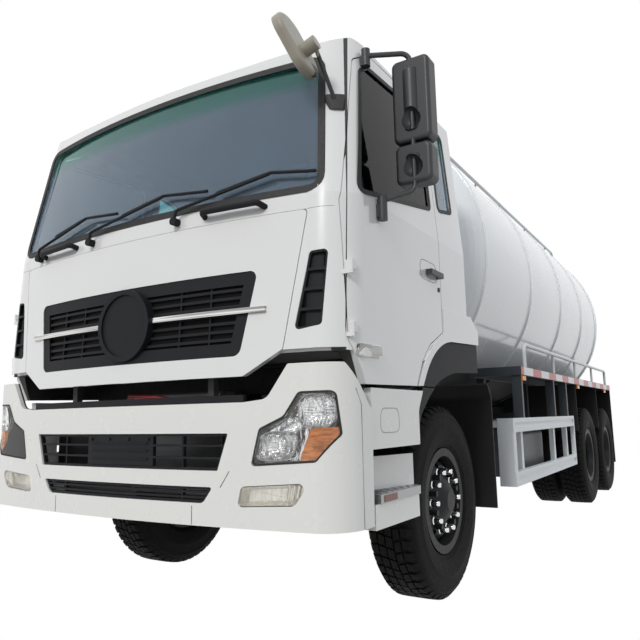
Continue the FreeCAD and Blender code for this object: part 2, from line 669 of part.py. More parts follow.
LAMP_OUTLINE = [
    (800, 828, 14), (1112, 848, 60), (1206, 960, 50), (1190, 1146, 30), (1034, 1144, 40), (962, 1042, 60),
    (842, 990, 20),
]
FOG_OUTLINE = [(730, 654, 18), (1010, 668, 40), (1080, 764, 24), (752, 742, 24)]
UPPER_MOUTH = [(-626, 806, 6), (626, 806, 6), (682, 970, 6), (-682, 970, 6)]
LOWER_MOUTH = [(-548, 663, 40), (548, 663, 40), (600, 734, 8), (-600, 734, 8)]


def bumper_form(inset):
    """The bumper's plan, closed behind, as a tall prism."""
    side = BUMPER_W - inset
    pts = [
        V(-side, 345, 0), V(-side, 262 + inset * 0.3, 0), V(-1200 + inset * 0.9, 140 + inset * 0.5, 0),
        V(-1120 + inset * 0.3, 84 + inset, 0), V(0, inset, 0), V(1120 - inset * 0.3, 84 + inset, 0),
        V(1200 - inset * 0.9, 140 + inset * 0.5, 0), V(side, 262 + inset * 0.3, 0), V(side, 345, 0),
    ]
    wire = Part.Wire([
        Part.LineSegment(pts[0], pts[1]).toShape(),
        Part.Arc(pts[1], pts[2], pts[3]).toShape(),
        Part.Arc(pts[3], pts[4], pts[5]).toShape(),
        Part.Arc(pts[5], pts[6], pts[7]).toShape(),
        Part.LineSegment(pts[7], pts[8]).toShape(),
        Part.LineSegment(pts[8], pts[0]).toShape(),
    ])
    return Part.Face(wire).extrude(V(0, 0, 1400))


def front_end():
    shell = bumper_form(0).cut(bumper_form(BUMPER_T))
    face_view = [
        (-1300, BUMPER_BOTTOM, 0), (1300, BUMPER_BOTTOM, 0), (1300, BUMPER_EAR, 0), (985, BUMPER_EAR, 12),
        (880, BUMPER_TOP + 12, 60), (760, BUMPER_TOP, 40), (-760, BUMPER_TOP, 40), (-880, BUMPER_TOP + 12, 60),
        (-985, BUMPER_EAR, 12), (-1300, BUMPER_EAR, 0),
    ]
    side_view = [
        (-50, BUMPER_BOTTOM - 1, 0), (335, BUMPER_BOTTOM - 1, 10), (343, 1060, 20), (300, 1100, 10),
        (160, BUMPER_EAR, 10), (-50, BUMPER_EAR, 0),
    ]
    shell = shell.common(prism("y", face_view, -100, 500)).common(prism("x", side_view, -1300, 1300))
    lamp_hole = prism("y", LAMP_OUTLINE, -100, 500)
    fog_hole = prism("y", FOG_OUTLINE, -100, 500)
    for tool in (lamp_hole, mirrored(lamp_hole), fog_hole, mirrored(fog_hole),
                 prism("y", UPPER_MOUTH, -100, 500), prism("y", LOWER_MOUTH, -100, 500)):
        shell = shell.cut(tool)
    arm = box(355, RAIL_OUT_X, 30, RAIL_FRONT, 985, 1045)
    arm = arm.cut(bumper_form(0).cut(bumper_form(BUMPER_T - 1)))
    shell = max(shell.Solids, key=lambda s: s.Volume)
    add("bumper", fuse([shell, arm, mirrored(arm)]))

    lamps = []
    for points in (LAMP_OUTLINE, FOG_OUTLINE):
        lens = bumper_form(5).cut(bumper_form(BUMPER_T + 60))
        lens = lens.common(prism("y", grown(points, -SEAL_GAP), -100, 460))
        lamps.append(max(lens.Solids, key=lambda s: s.Volume))
    tail_face = RAIL_REAR + BUMPER_BAR_T
    tail = box(700, 1090, tail_face + SEAL_GAP, tail_face + TAIL_LAMP_T, 900, 1000)
    add("lamps", Part.makeCompound([s for one in lamps + [tail] for s in (one, mirrored(one))]))

    backing = bumper_form(BUMPER_T).cut(bumper_form(BUMPER_T + 14))
    front = bumper_form(10).cut(bumper_form(BUMPER_T - 2))
    bars = []
    for points, count in ((UPPER_MOUTH, 2), (LOWER_MOUTH, 2)):
        hole = prism("y", grown(points, -SEAL_GAP), -100, 300)
        inner = prism("y", grown(points, -12), -100, 300)
        bars.append(front.common(hole).cut(inner))
        low, high = points[0][1], points[2][1]
        for i in range(count):
            z = low + (high - low) * (i + 1) / (count + 1)
            bars.append(front.common(inner).common(box(-900, 900, -100, 300, z - 5, z + 5)))
    plate = front.common(box(-235, 235, -100, 300, 820, 962))
    posts = [front.common(box(x - 4, x + 4, -100, 300, 664, 966)).common(
        prism("y", UPPER_MOUTH, -100, 300).fuse(prism("y", LOWER_MOUTH, -100, 300))) for x in (-420, 420)]
    solids = fuse([s for b in bars + [plate] + posts for s in b.Solids])
    strip = bumper_form(15).cut(bumper_form(36)).common(
        box(-752, 752, -100, 300, BUMPER_TOP + SEAL_GAP, BUMPER_TOP + 34))
    add("bumper_grilles", Part.makeCompound(solids.Solids + strip.Solids))


STEP_FRONT = 350.0
STEP_REAR = 855.0
STEP_WALL_TOP = 845.0
TREAD_LOW = 652.0
TREAD_TOP = 692.0


def steps():
    """Boarding steps: upper hatch panel, slanting inner wall, aluminium tread and the bowl below."""
    panel = prism("x", [(352, 888, 10), (880, 888, 10), (880, 1060, 80), (945, 1160, 0), (352, 1160, 0)],
                  CAB_W - 40, CAB_W - 3)
    upper = box(1000, CAB_W - 40, 352, 790, 1110, 1150)
    wall = prism("z", [(1070, STEP_FRONT, 0), (1086, STEP_FRONT, 0), (1204, STEP_REAR, 0), (1188, STEP_REAR, 0)],
                 560, STEP_WALL_TOP)
    back = box(1000, CAB_W - 40, STEP_FRONT, STEP_FRONT + 30, 560, 1120)
    bowl_plan = [(980, STEP_FRONT, 0), (CAB_W + 6, STEP_FRONT, 0), (CAB_W + 6, STEP_REAR, 45),
                 (1150, STEP_REAR, 30), (1130, 800, 30), (980, 790, 0)]
    bowl = prism("z", bowl_plan, 545, TREAD_LOW)
    pocket = prism("z", grown(bowl_plan, -30), 575, 700)
    bowl = bowl.cut(pocket)
    hanger = [box(RAIL_OUT_X, 1040, 650, 720, 940, 1000), box(1000, 1040, 650, 720, 940, 1112)]
    body = fuse([panel, upper, wall, back, bowl] + hanger)
    tread = prism("z", [(1094, STEP_FRONT + 31, 0), (CAB_W + 16, STEP_FRONT + 31, 0), (CAB_W + 16, STEP_REAR, 45),
                        (1205, STEP_REAR, 0)], TREAD_LOW + SEAL_GAP, TREAD_TOP)
    slots = [box(1112 + 0.24 * (y - 380), CAB_W - 8, y, y + 26, 640, 700) for y in range(400, 760, 46)]
    tread = tread.cut(Part.makeCompound(slots))
    add("step_boxes", both_sides(body))
    add("step_treads", both_sides(tread))


# Running gear

TYRE_PROFILE = [
    # (half width, radius) from the bead to the tread
    (100.0, 258.0), (103.4, 262.0), (105.4, 299.0), (121.0, 312.0), (136.0, 345.0), (146.5, 405.0), (142.0, 460.0),
    (128.0, 512.0), (112.0, 533.0), (96.0, 540.5), (80.0, TYRE_R),
]
GROOVES = (60.0, 0.0, -60.0)
GROOVE_W = 11.0
GROOVE_D = 15.0


def tyre(centre):
    points = list(TYRE_PROFILE)
    for g in GROOVES:
        points += [(g + GROOVE_W, TYRE_R), (g + GROOVE_W * 0.6, TYRE_R - GROOVE_D),
                   (g - GROOVE_W * 0.6, TYRE_R - GROOVE_D), (g - GROOVE_W, TYRE_R)]
    points += [(-a, r) for a, r in reversed(TYRE_PROFILE)]
    return revolve(points, centre, "x")


def rim(centre, side, dish, face):
    """A disc wheel: barrel with flanges, and a dished centre whose bolting face stands at face from the middle."""
    half = RIM_W / 2
    barrel = revolve([(-half, RIM_FLANGE_R), (-half + 12, RIM_FLANGE_R), (-half + 14, 257), (-60, 250),
                      (60, 250), (half - 14, 257), (half - 12, RIM_FLANGE_R), (half, RIM_FLANGE_R),
                      (half, 252), (60, 238), (-60, 238), (-half, 252)], centre, "x")
    disc = revolve([(dish, 244), (dish + 14, 244), (face * 0.6 + dish * 0.4 + 14, 224),
                    (face + 14, 196), (face + 14, 100), (face, 100), (face, 190),
                    (face * 0.6 + dish * 0.4, 214)], V(0, 0, 0), "x")
    hole = cyl("x", V(face * 0.8 + dish * 0.2, 0, 212), 27, 160)
    holes = [hole.copy().rotate(V(0, 0, 0), V(1, 0, 0), 45.0 * i + 10) for i in range(8)]
    disc = disc.cut(Part.makeCompound(holes))
    if side < 0:
        disc = mirrored(disc)
    disc.translate(centre)
    return fuse([barrel, disc])


def hub(centre, side, face, length):
    """A hub drum with its ring of nuts and a cap, bored for the spindle."""
    body = revolve([(face - length, SPINDLE_R + SPINDLE_GAP), (face - length, 165), (face - 0.5, 190),
                    (face + 15, 150), (face + 60, HUB_R * 0.72), (face + 78, 60), (face + 78, 0), (face + 40, 0),
                    (face + 40, SPINDLE_R + SPINDLE_GAP)], V(0, 0, 0), "x")
    nut = cyl("x", V(face + 34, 0, STUD_CIRCLE_R), 16, 46)
    nuts = [nut.copy().rotate(V(0, 0, 0), V(1, 0, 0), 360.0 / STUD_COUNT * i) for i in range(STUD_COUNT)]
    whole = fuse([body] + nuts)
    if side < 0:
        whole = mirrored(whole)
    whole.translate(centre)
    return whole


FRONT_FACE = 78.0
DUAL_FACE = DUAL_SPACING / 2
HUB_LENGTH = 110.0


def wheels():
    centre = V(FRONT_WHEEL_X, FRONT_AXLE_Y, TYRE_R)
    front = {
        "tyre_front_": tyre(centre),
        "rim_front_": fuse([rim(centre, 1, 10, FRONT_FACE), hub(centre, 1, FRONT_FACE, HUB_LENGTH)]),
    }
    y = MID_AXLE_Y
    near, far = V(DUAL_INNER_X, y, TYRE_R), V(DUAL_INNER_X + DUAL_SPACING, y, TYRE_R)
    pair = fuse([rim(near, 1, 40, DUAL_FACE - 14), rim(far, -1, 40, DUAL_FACE - 14), hub(near, 1, DUAL_FACE + 14, 190)])
    twin = Part.makeCompound([tyre(near), tyre(far)])
    for name, place in (("left", lambda s: s), ("right", mirrored)):
        for stem, shape in front.items():
            add(stem + name, place(shape))
        for axle, shift in (("mid", 0.0), ("rear", TANDEM)):
            add(f"tyres_{axle}_{name}", place(twin.translated(V(0, shift, 0))))
            add(f"rims_{axle}_{name}", place(pair.translated(V(0, shift, 0))))


def knuckle():
    """The left steering knuckle: yoke, kingpin, spindle and steering arm."""
    y, z = FRONT_AXLE_Y, TYRE_R
    pin = cyl("z", V(KINGPIN_X, y, z), KINGPIN_R, 250)
    arms = [cyl("z", V(KINGPIN_X, y, z + dz), 52, 50) for dz in (-100, 100)]
    web = box(KINGPIN_X + 68, KINGPIN_X + 108, y - 52, y + 52, z - 125, z + 125)
    bridges = [box(KINGPIN_X, KINGPIN_X + 108, y - 40, y + 40, z + dz - 25, z + dz + 25) for dz in (-100, 100)]
    spindle = Part.makeCylinder(SPINDLE_R, FRONT_WHEEL_X + FRONT_FACE + 20 - KINGPIN_X - 100,
                                V(KINGPIN_X + 100, y, z), V(1, 0, 0))
    plate = cyl("x", V(KINGPIN_X + 112, y, z), 175, 10)
    lever = box(KINGPIN_X - 60, KINGPIN_X + 30, y + 30, y + 190, z - 122, z - 92)
    return fuse([pin, web, spindle, plate, lever] + arms + bridges)


def running_gear():
    left = knuckle()
    add("knuckle_left", left)
    add("knuckle_right", mirrored(left))

    y, z = FRONT_AXLE_Y, TYRE_R
    drop = [(-780, z + 45, 20), (-620, z + 45, 40), (-480, z - 55, 40), (480, z - 55, 40), (620, z + 45, 40),
            (780, z + 45, 20), (780, z - 45, 20), (640, z - 45, 40), (500, z - 150, 40), (-500, z - 150, 40),
            (-640, z - 45, 40), (-780, z - 45, 20)]
    beam = prism("y", drop, y - 48, y + 48)
    flutes = prism("y", [(-470, z - 135, 8), (470, z - 135, 8), (470, z - 72, 8), (-470, z - 72, 8)], y - 60, y - 22)
    beam = beam.cut(flutes).cut(flutes.mirror(V(0, y, 0), V(0, 1, 0)))
    eye = cyl("z", V(KINGPIN_X, y, z), 56, 140)
    ends = [eye, box(760, KINGPIN_X, y - 48, y + 48, z - 60, z + 60)]
    ends = fuse(ends).cut(cyl("z", V(KINGPIN_X, y, z), KINGPIN_R + 0.1, 200))
    add("front_axle", fuse([beam, ends, mirrored(ends)]))

    springs = [leaf_pack(y, 700, z - 55, 5, 4), leaf_pack(BOGIE_Y, 740, z + 98.3, 7, 0)]
    add("leaf_springs", Part.makeCompound([s for one in springs for s in (one, mirrored(one))]))

    line = []
    for axle_y in (MID_AXLE_Y, MID_AXLE_Y + TANDEM):
        casing = cyl("x", V(0, axle_y, z), 78, 1240)
        bowl = revolve([(-140, 0), (-140, 110), (-70, 205), (60, 205), (140, 120), (160, 0)], V(0, axle_y, z), "y")
        stubs = cyl("x", V(0, axle_y, z), SPINDLE_R, 2 * (DUAL_INNER_X + DUAL_FACE + 10))
        nose = Part.makeCone(140, 70, 260, V(0, axle_y - 120, z + 20), V(0, -1, 0))
        flange = cyl("y", V(0, axle_y - 385, z + 20), 80, 20)
        seat = box(360, 470, axle_y - 70, axle_y + 70, z + 60, z + 98)
        line.append(fuse([casing, bowl, stubs, nose, flange, seat, mirrored(seat)]))
    shaft = tube([(0, 2367, 800), (0, MID_AXLE_Y - 395.5, z + 20)], 55, 1)
    outlet = cyl("y", V(0, MID_AXLE_Y + 110, z + 20), 62, 120)
    link = tube([(0, MID_AXLE_Y + 170 + SEAL_GAP, z + 20), (0, MID_AXLE_Y + TANDEM - 395 - SEAL_GAP, z + 20)], 55, 1)
    add("drive_line", Part.makeCompound([line[0].fuse(outlet), line[1], shaft, link]))


def leaf_pack(y, half_length, low, count, main_leaf):
    """A stack of leaves on the left rail's line, ever shorter away from the main leaf, with its hangers."""
    leaf_t = 14.0
    leaves = []
    for i in range(count):
        reach = half_length * (1 - 0.11 * abs(main_leaf - i))
        leaves.append(box(378, 452, y - reach, y + reach, low + leaf_t * i, low + leaf_t * (i + 1)))
    top = low + leaf_t * count
    rail_low = RAIL_TOP - RAIL_H
    clamp = box(370, 460, y - 60, y + 60, low, top + 16)
    if main_leaf == 0:
        return fuse(leaves + [clamp, box(380, RAIL_OUT_X, y - 60, y + 60, top, rail_low)])
    hangers = [box(392, RAIL_OUT_X, y + s * (half_length - 45) - 35, y + s * (half_length - 45) + 35, top, rail_low)
               for s in (-1, 1)]
    return fuse(leaves + hangers + [clamp])


def chassis():
    low = RAIL_TOP - RAIL_H
    channel = [(RAIL_OUT_X - RAIL_FLANGE, low, 0), (RAIL_OUT_X, low, 0), (RAIL_OUT_X, RAIL_TOP, 0),
               (RAIL_OUT_X - RAIL_FLANGE, RAIL_TOP, 0), (RAIL_OUT_X - RAIL_FLANGE, RAIL_TOP - RAIL_T, 0),
               (RAIL_OUT_X - RAIL_T, RAIL_TOP - RAIL_T, 0), (RAIL_OUT_X - RAIL_T, low + RAIL_T, 0),
               (RAIL_OUT_X - RAIL_FLANGE, low + RAIL_T, 0)]
    rail = prism("y", channel, RAIL_FRONT, RAIL_REAR)
    add("frame_rails", both_sides(rail))

    web = RAIL_OUT_X - RAIL_T
    members = []
    for y in (2450.0, 3500.0, 4750.0, BOGIE_Y, RAIL_REAR - 400.0):
        tube_member = box(-web, web, y - 45, y + 45, low + 120, low + 250)
        members.append(tube_member.cut(box(-web - 1, web + 1, y - 37, y + 37, low + 128, low + 242)))
    ears = [box(x0, x0 + 20, TILT_Y - 34, TILT_Y + 60, TILT_Z - 90, TILT_Z + 34) for x0 in (450, 530)]
    reach = box(450, 550, TILT_Y + 50, 640, 990, 1048)
    foot = box(RAIL_OUT_X, 550, RAIL_FRONT + 20, 640, 900, 1048)
    ear = fuse(ears + [reach, foot]).cut(cyl("x", V(TILT_PIN_X, TILT_Y, TILT_Z), TILT_PIN_R + 0.2, 200))
    add("cross_members", Part.makeCompound(members + [ear, mirrored(ear)]))

    engine = box(-320, 320, 760, 1900, 610, 1225)
    gearbox = box(-190, 190, 1900, 2300, 640, 960)
    output = cyl("y", V(0, 2330, 800), 70, 60)
    radiator = box(-335, 335, 400, 490, 640, 1180)
    stay = box(-300, 300, 490, 760, 700, 740)
    mount = box(320, RAIL_OUT_X - RAIL_T, 1150, 1270, 800, 850)
    add("engine_block", fuse([engine, gearbox, output, radiator, stay, mount, mirrored(mount)]))


# Barrel and what it carries


HEAD_FACETS = 12


def head(y, outward, r, depth):
    """A dished end that starts at station y with the barrel's radius."""
    profile = [(0.0, 0.0)]
    for i in range(HEAD_FACETS):
        a = math.pi / 2 * i / HEAD_FACETS
        profile.append((depth * math.sin(a), r * math.cos(a) ** 0.55))
    profile.append((depth, 0.0))
    solid = revolve(profile, V(0, 0, 0), "y")
    if outward < 0:
        solid = solid.mirror(V(0, 0, 0), V(0, 1, 0))
    return solid.translated(V(0, y, TANK_Z))


def barrel():
    centre_y = (TANK_FRONT + TANK_REAR) / 2
    length = TANK_REAR - TANK_FRONT
    shell = cyl("y", V(0, centre_y, TANK_Z), TANK_R, length)
    neck = Part.makeCylinder(MANHOLE_R + 14, MANHOLE_NECK + 60, V(0, MANHOLE_Y, TANK_TOP - 60))
    bands = [cyl("y", V(0, y, TANK_Z), TANK_R + BAND_T, BAND_W) for y in BAND_Y]
    collars = [cyl("y", V(0, y, TANK_Z), TANK_R + BAND_T, 60) for y in (TANK_FRONT + 30, TANK_REAR - 30)]
    flange = Part.makeCylinder(MANHOLE_R + 50, 20, V(0, MANHOLE_Y, MANHOLE_TOP - 20))
    top_lugs, rear_lugs = lid_hinge_lugs()
    mouth = Part.makeCylinder(MANHOLE_R, 400, V(0, MANHOLE_Y, MANHOLE_TOP - 300))
    outside = fuse([shell] + bands + collars)
    shell = outside.cut(cyl("y", V(0, centre_y, TANK_Z), TANK_R - TANK_WALL, length + 2))
    add("tank_barrel", shell.cut(mouth))
    add("manhole_neck", fuse([neck, flange] + top_lugs).cut(mouth).cut(outside))

    ends = []
    for y, way in ((TANK_FRONT, -1), (TANK_REAR, 1)):
        outer = head(y, way, TANK_R, HEAD_DEPTH)
        inner = head(y - way * 1.0, way, TANK_R - 10, HEAD_DEPTH - 9)
        ends.append(outer.cut(inner))
    hatch_neck_y = TANK_REAR + HEAD_DEPTH
    neck = Part.makeCylinder(HATCH_R + 12, 150, V(0, hatch_neck_y - 110, TANK_Z), V(0, 1, 0))
    ring_face = Part.makeCylinder(HATCH_R + 45, 20, V(0, HATCH_Y - 20, TANK_Z), V(0, 1, 0))
    inside = head(TANK_REAR - 1, 1, TANK_R - 10, HEAD_DEPTH - 9)
    rear = fuse([ends[1], fuse([neck, ring_face]).cut(inside)])
    rear = rear.cut(Part.makeCylinder(HATCH_R, 400, V(0, hatch_neck_y - 200, TANK_Z), V(0, 1, 0)))
    ports = []
    for x, z in PORT_PLACES:
        ports.append(Part.makeCylinder(PORT_R + 12, 300, V(x, TANK_REAR + 60, z), V(0, 1, 0)))
    rear = fuse([rear] + [p.cut(inside) for p in ports])
    rear = rear.cut(Part.makeCompound([Part.makeCylinder(PORT_R, 600, V(x, TANK_REAR - 100, z), V(0, 1, 0))
                                       for x, z in PORT_PLACES]))
    add("tank_heads", Part.makeCompound([ends[0], fuse([rear] + rear_lugs)]))
    lids()
    valves()


PORT_PLACES = [
    # (x, height) of the suction and the discharge pipe
    (-500.0, RAIL_TOP + 676.0), (-60.0, RAIL_TOP + 416.0),
]
PORT_FACE = TANK_REAR + 360.0
VALVE_LENGTH = 140.0
LID_T = 22.0
LID_GAP = 0.3
HINGE_PIN_R = 10.0
HINGE_FIT = 0.1


MANHOLE_HINGE_Y = MANHOLE_Y + MANHOLE_R + 85.0
MANHOLE_HINGE_Z = MANHOLE_TOP + 14.0
HATCH_Y = TANK_REAR + HEAD_DEPTH + 40.0
HATCH_HINGE_X = -HATCH_R - 95.0
HATCH_HINGE_Y = HATCH_Y + 14.0


def lids():
    lid = Part.makeCylinder(MANHOLE_R + 40, LID_T, V(0, MANHOLE_Y, MANHOLE_TOP + LID_GAP))
    dome = Part.makeSphere(620, V(0, MANHOLE_Y, MANHOLE_TOP + LID_GAP + LID_T + 50 - 620))
    dome = dome.common(Part.makeCylinder(MANHOLE_R - 20, 60, V(0, MANHOLE_Y, MANHOLE_TOP + LID_GAP + LID_T - 1)))
    tab = box(-40, 40, MANHOLE_Y + MANHOLE_R, MANHOLE_HINGE_Y, MANHOLE_TOP + 4, MANHOLE_TOP + LID_T)
    roll = cyl("x", V(0, MANHOLE_HINGE_Y, MANHOLE_HINGE_Z), 20, 80)
    grip = tube([(-60, MANHOLE_Y - 200, MANHOLE_TOP + 20), (-60, MANHOLE_Y - 200, MANHOLE_TOP + 80),
                 (60, MANHOLE_Y - 200, MANHOLE_TOP + 80), (60, MANHOLE_Y - 200, MANHOLE_TOP + 20)], 8, 20)
    bore = cyl("x", V(0, MANHOLE_HINGE_Y, MANHOLE_HINGE_Z), HINGE_PIN_R + HINGE_FIT, 200)
    add("manhole_lid", fuse([lid, dome, tab, roll, grip]).cut(bore))

    y = HATCH_Y + LID_GAP
    plate = Part.makeCylinder(HATCH_R + 40, LID_T, V(0, y, TANK_Z), V(0, 1, 0))
    bulge = Part.makeSphere(760, V(0, y + LID_T + 62 - 760, TANK_Z))
    bulge = bulge.common(Part.makeCylinder(HATCH_R - 20, 80, V(0, y + LID_T - 1, TANK_Z), V(0, 1, 0)))
    strap = box(HATCH_HINGE_X, 0, y + 4, y + LID_T, TANK_Z - 40, TANK_Z + 40)
    roll = cyl("z", V(HATCH_HINGE_X, HATCH_HINGE_Y, TANK_Z), 20, 80)
    bore = cyl("z", V(HATCH_HINGE_X, HATCH_HINGE_Y, TANK_Z), HINGE_PIN_R + HINGE_FIT, 200)
    add("rear_hatch", fuse([plate, bulge, strap, roll]).cut(bore))


def lid_hinge_lugs():
    """The fixed halves of the two lid hinges: for the manhole, then for the rear hatch."""
    y, z = MANHOLE_HINGE_Y, MANHOLE_HINGE_Z
    top = [cyl("x", V(s * 56, y, z), 20, 20) for s in (-1, 1)]
    top += [box(s * 56 - 10, s * 56 + 10, y - 62, y + 12, MANHOLE_TOP - 20, MANHOLE_TOP) for s in (-1, 1)]
    top += [box(s * 56 - 10, s * 56 + 10, y - 44, y + 12, MANHOLE_TOP - 1, z) for s in (-1, 1)]
    top.append(cyl("x", V(0, y, z), HINGE_PIN_R, 132))
    x, y = HATCH_HINGE_X, HATCH_HINGE_Y
    rear = [cyl("z", V(x, y, TANK_Z + s * 56), 20, 20) for s in (-1, 1)]
    rear += [box(x - 12, x + 70, y - 34, HATCH_Y, TANK_Z + s * 56 - 10, TANK_Z + s * 56 + 10) for s in (-1, 1)]
    rear += [box(x - 12, x + 48, HATCH_Y - 1, y, TANK_Z + s * 56 - 10, TANK_Z + s * 56 + 10) for s in (-1, 1)]
    rear.append(cyl("z", V(x, y, TANK_Z), HINGE_PIN_R, 132))
    return top, rear


def valves():
    """Gate valves on the two rear pipes, each with a hand wheel and a hose stub."""
    made = []
    for x, z in PORT_PLACES:
        y0 = PORT_FACE
        flange = ring("y", V(x, y0 + 10, z), 105, PORT_R, 20)
        body = ring("y", V(x, y0 + VALVE_LENGTH / 2, z), 82, PORT_R, VALVE_LENGTH)
        bonnet = cyl("z", V(x, y0 + VALVE_LENGTH / 2, z + 130), 34, 140)
        bonnet = bonnet.cut(cyl("y", V(x, y0 + VALVE_LENGTH / 2, z), PORT_R + 2, 200))
        spindle = cyl("z", V(x, y0 + VALVE_LENGTH / 2, z + 220), 12, 60)
        hand = Part.makeTorus(78, 11, V(x, y0 + VALVE_LENGTH / 2, z + 244), V(0, 0, 1))
        spokes = box(x - 78, x + 78, y0 + VALVE_LENGTH / 2 - 9, y0 + VALVE_LENGTH / 2 + 9, z + 236, z + 252)
        stub = ring("y", V(x, y0 + VALVE_LENGTH + PORT_LENGTH / 2, z), PORT_R + PORT_WALL, PORT_R, PORT_LENGTH)
        made.append(fuse([flange, body, bonnet, spindle, hand, spokes, stub]))
    add("rear_valves", Part.makeCompound(made))


def saddles():
    """Bolsters between the frame and the barrel."""
    hollow = cyl("y", V(0, (TANK_FRONT + TANK_REAR) / 2, TANK_Z), TANK_R + BAND_T + SEAL_GAP, 6000)
    close = cyl("y", V(0, (TANK_FRONT + TANK_REAR) / 2, TANK_Z), TANK_R + SEAL_GAP, 6000)
    blocks = []
    for y in [TANK_FRONT + 270.0] + [band + 130.0 for band in BAND_Y] + [TANK_REAR - 260.0]:
        block = box(-620, 620, y - 40, y + 40, RAIL_TOP, 1330)
        blocks.append(block.cut(close))
    runner = box(RAIL_OUT_X - RAIL_FLANGE, RAIL_OUT_X, TANK_FRONT + 50, TANK_REAR + 50, RAIL_TOP, RAIL_TOP + 60)
    add("tank_saddles", fuse(blocks + [runner.cut(hollow), mirrored(runner).cut(hollow)]))


def platforms():
    bands = cyl("y", V(0, (TANK_FRONT + TANK_REAR) / 2, TANK_Z), TANK_R + BAND_T + SEAL_GAP, 6000)
    deck = box(PLATFORM_IN, PLATFORM_OUT, PLATFORM_FRONT, PLATFORM_REAR, PLATFORM_Z, PLATFORM_Z + PLATFORM_H)
    deck = deck.cut(box(PLATFORM_IN + 30, PLATFORM_OUT - 30, PLATFORM_FRONT + 30, PLATFORM_REAR - 30,
                        PLATFORM_Z - 1, PLATFORM_Z + PLATFORM_H - 6)).cut(bands)
    arms = [box(RAIL_OUT_X, PLATFORM_IN + 31, y - 30, y + 30, 985, 1045).fuse(
        box(PLATFORM_IN - 30, PLATFORM_IN + 31, y - 30, y + 30, 985, PLATFORM_Z + 2)).cut(bands)
        for y in (PLATFORM_FRONT + 330.0, GUARD_REAR - 250.0, BOGIE_Y, PLATFORM_REAR - 80.0)]
    posts = [box(1150, 1226, y - 20, y + 20, GUARD_HIGH, PLATFORM_Z + 2) for y in GUARD_POSTS]
    add("hose_platforms", both_sides(fuse([deck] + arms + posts)))

    plates = [box(640, 1232, y - 6, y + 6, 840, PLATFORM_Z - SEAL_GAP).cut(bands)
              for y in (GUARD_REAR + 235.0, BOGIE_Y + 45, PLATFORM_REAR - 8)]
    flap = box(640, 1232, PLATFORM_REAR - 14, PLATFORM_REAR - 2, 330, 842)
    add("mud_plates", both_sides(Part.makeCompound(
        plates[:2] + [fuse([plates[2], flap]), front_mudguard(), arch_front()])))

    z = PLATFORM_Z + PLATFORM_H
    x = PLATFORM_OUT - 18
    y0, y1 = PLATFORM_FRONT + 200, PLATFORM_REAR - 300
    hoop = tube([(x, y0, z), (x, y0, z + HOSE_RAIL_H), (x, y1, z + HOSE_RAIL_H), (x, y1, z)], RAIL_TUBE_R, 60)
    posts = [Part.makeCylinder(RAIL_TUBE_R * 0.8, HOSE_RAIL_H, V(x, y0 + (y1 - y0) * i / (HOSE_RAIL_POSTS - 1), z))
             for i in range(1, HOSE_RAIL_POSTS - 1)]
    side_rail = fuse([hoop] + posts)
    add("handrails", Part.makeCompound([side_rail, mirrored(side_rail)] + top_rails()))
    walkway()


TOP_RAIL_X = 600.0
TOP_RAIL_Z = TANK_TOP - 1.0
WALK_FRONT = TANK_FRONT + 310.0
WALK_REAR = TANK_REAR - 110.0
WALK_TOP = TANK_TOP - 12.0


def surface_z(x):
    return TANK_Z + math.sqrt((TANK_R + SEAL_GAP) ** 2 - x ** 2)


LADDER_X = (310.0, TOP_RAIL_X)
LADDER_Y = RAIL_REAR + 30.0
LADDER_FOOT = 1010.0
LADDER_BEND = 330.0
RUNG_FIRST = 1250.0
RUNG_PITCH = 300.0


def rail_posts(side):
    """Posts from the barrel up to a top rail."""
    hollow = cyl("y", V(0, (TANK_FRONT + TANK_REAR) / 2, TANK_Z), TANK_R + SEAL_GAP, 6000)
    foot_x = TOP_RAIL_X - 65
    posts = [tube([(foot_x, y, surface_z(foot_x) - 20), (TOP_RAIL_X, y, TOP_RAIL_Z)], RAIL_TUBE_R * 0.8, 1).cut(hollow)
             for y in (WALK_FRONT + 140.0, BAND_Y[0] + 290.0, BAND_Y[1] - 180.0, BAND_Y[2] - 260.0, WALK_REAR - 100.0)]
    return posts if side > 0 else [mirrored(p) for p in posts]


def top_rails():
    """Two rails along the barrel's top; the left one runs on down behind as a string of the ladder."""
    right = tube([(-TOP_RAIL_X, WALK_FRONT, TOP_RAIL_Z), (-TOP_RAIL_X, WALK_REAR, TOP_RAIL_Z)], RAIL_TUBE_R, 1)
    left = tube([(LADDER_X[1], WALK_FRONT, TOP_RAIL_Z), (LADDER_X[1], LADDER_Y - 420, TOP_RAIL_Z),
                 (LADDER_X[1], LADDER_Y, TOP_RAIL_Z - LADDER_BEND), (LADDER_X[1], LADDER_Y, LADDER_FOOT)],
                RAIL_TUBE_R, 90)
    inner = tube([(LADDER_X[0], WALK_REAR + SEAL_GAP, TOP_RAIL_Z), (LADDER_X[0], LADDER_Y - 420, TOP_RAIL_Z),
                  (LADDER_X[0], LADDER_Y, TOP_RAIL_Z - LADDER_BEND), (LADDER_X[0], LADDER_Y, LADDER_FOOT)],
                 RAIL_TUBE_R, 90)
    middle = sum(LADDER_X) / 2
    count = int((TOP_RAIL_Z - LADDER_BEND - 70 - RUNG_FIRST) / RUNG_PITCH) + 1
    rungs = [cyl("x", V(middle, LADDER_Y, RUNG_FIRST + RUNG_PITCH * i), 12, LADDER_X[1] - LADDER_X[0])
             for i in range(count)]
    return [fuse([left, inner] + rungs + rail_posts(1)), fuse([right] + rail_posts(-1))]


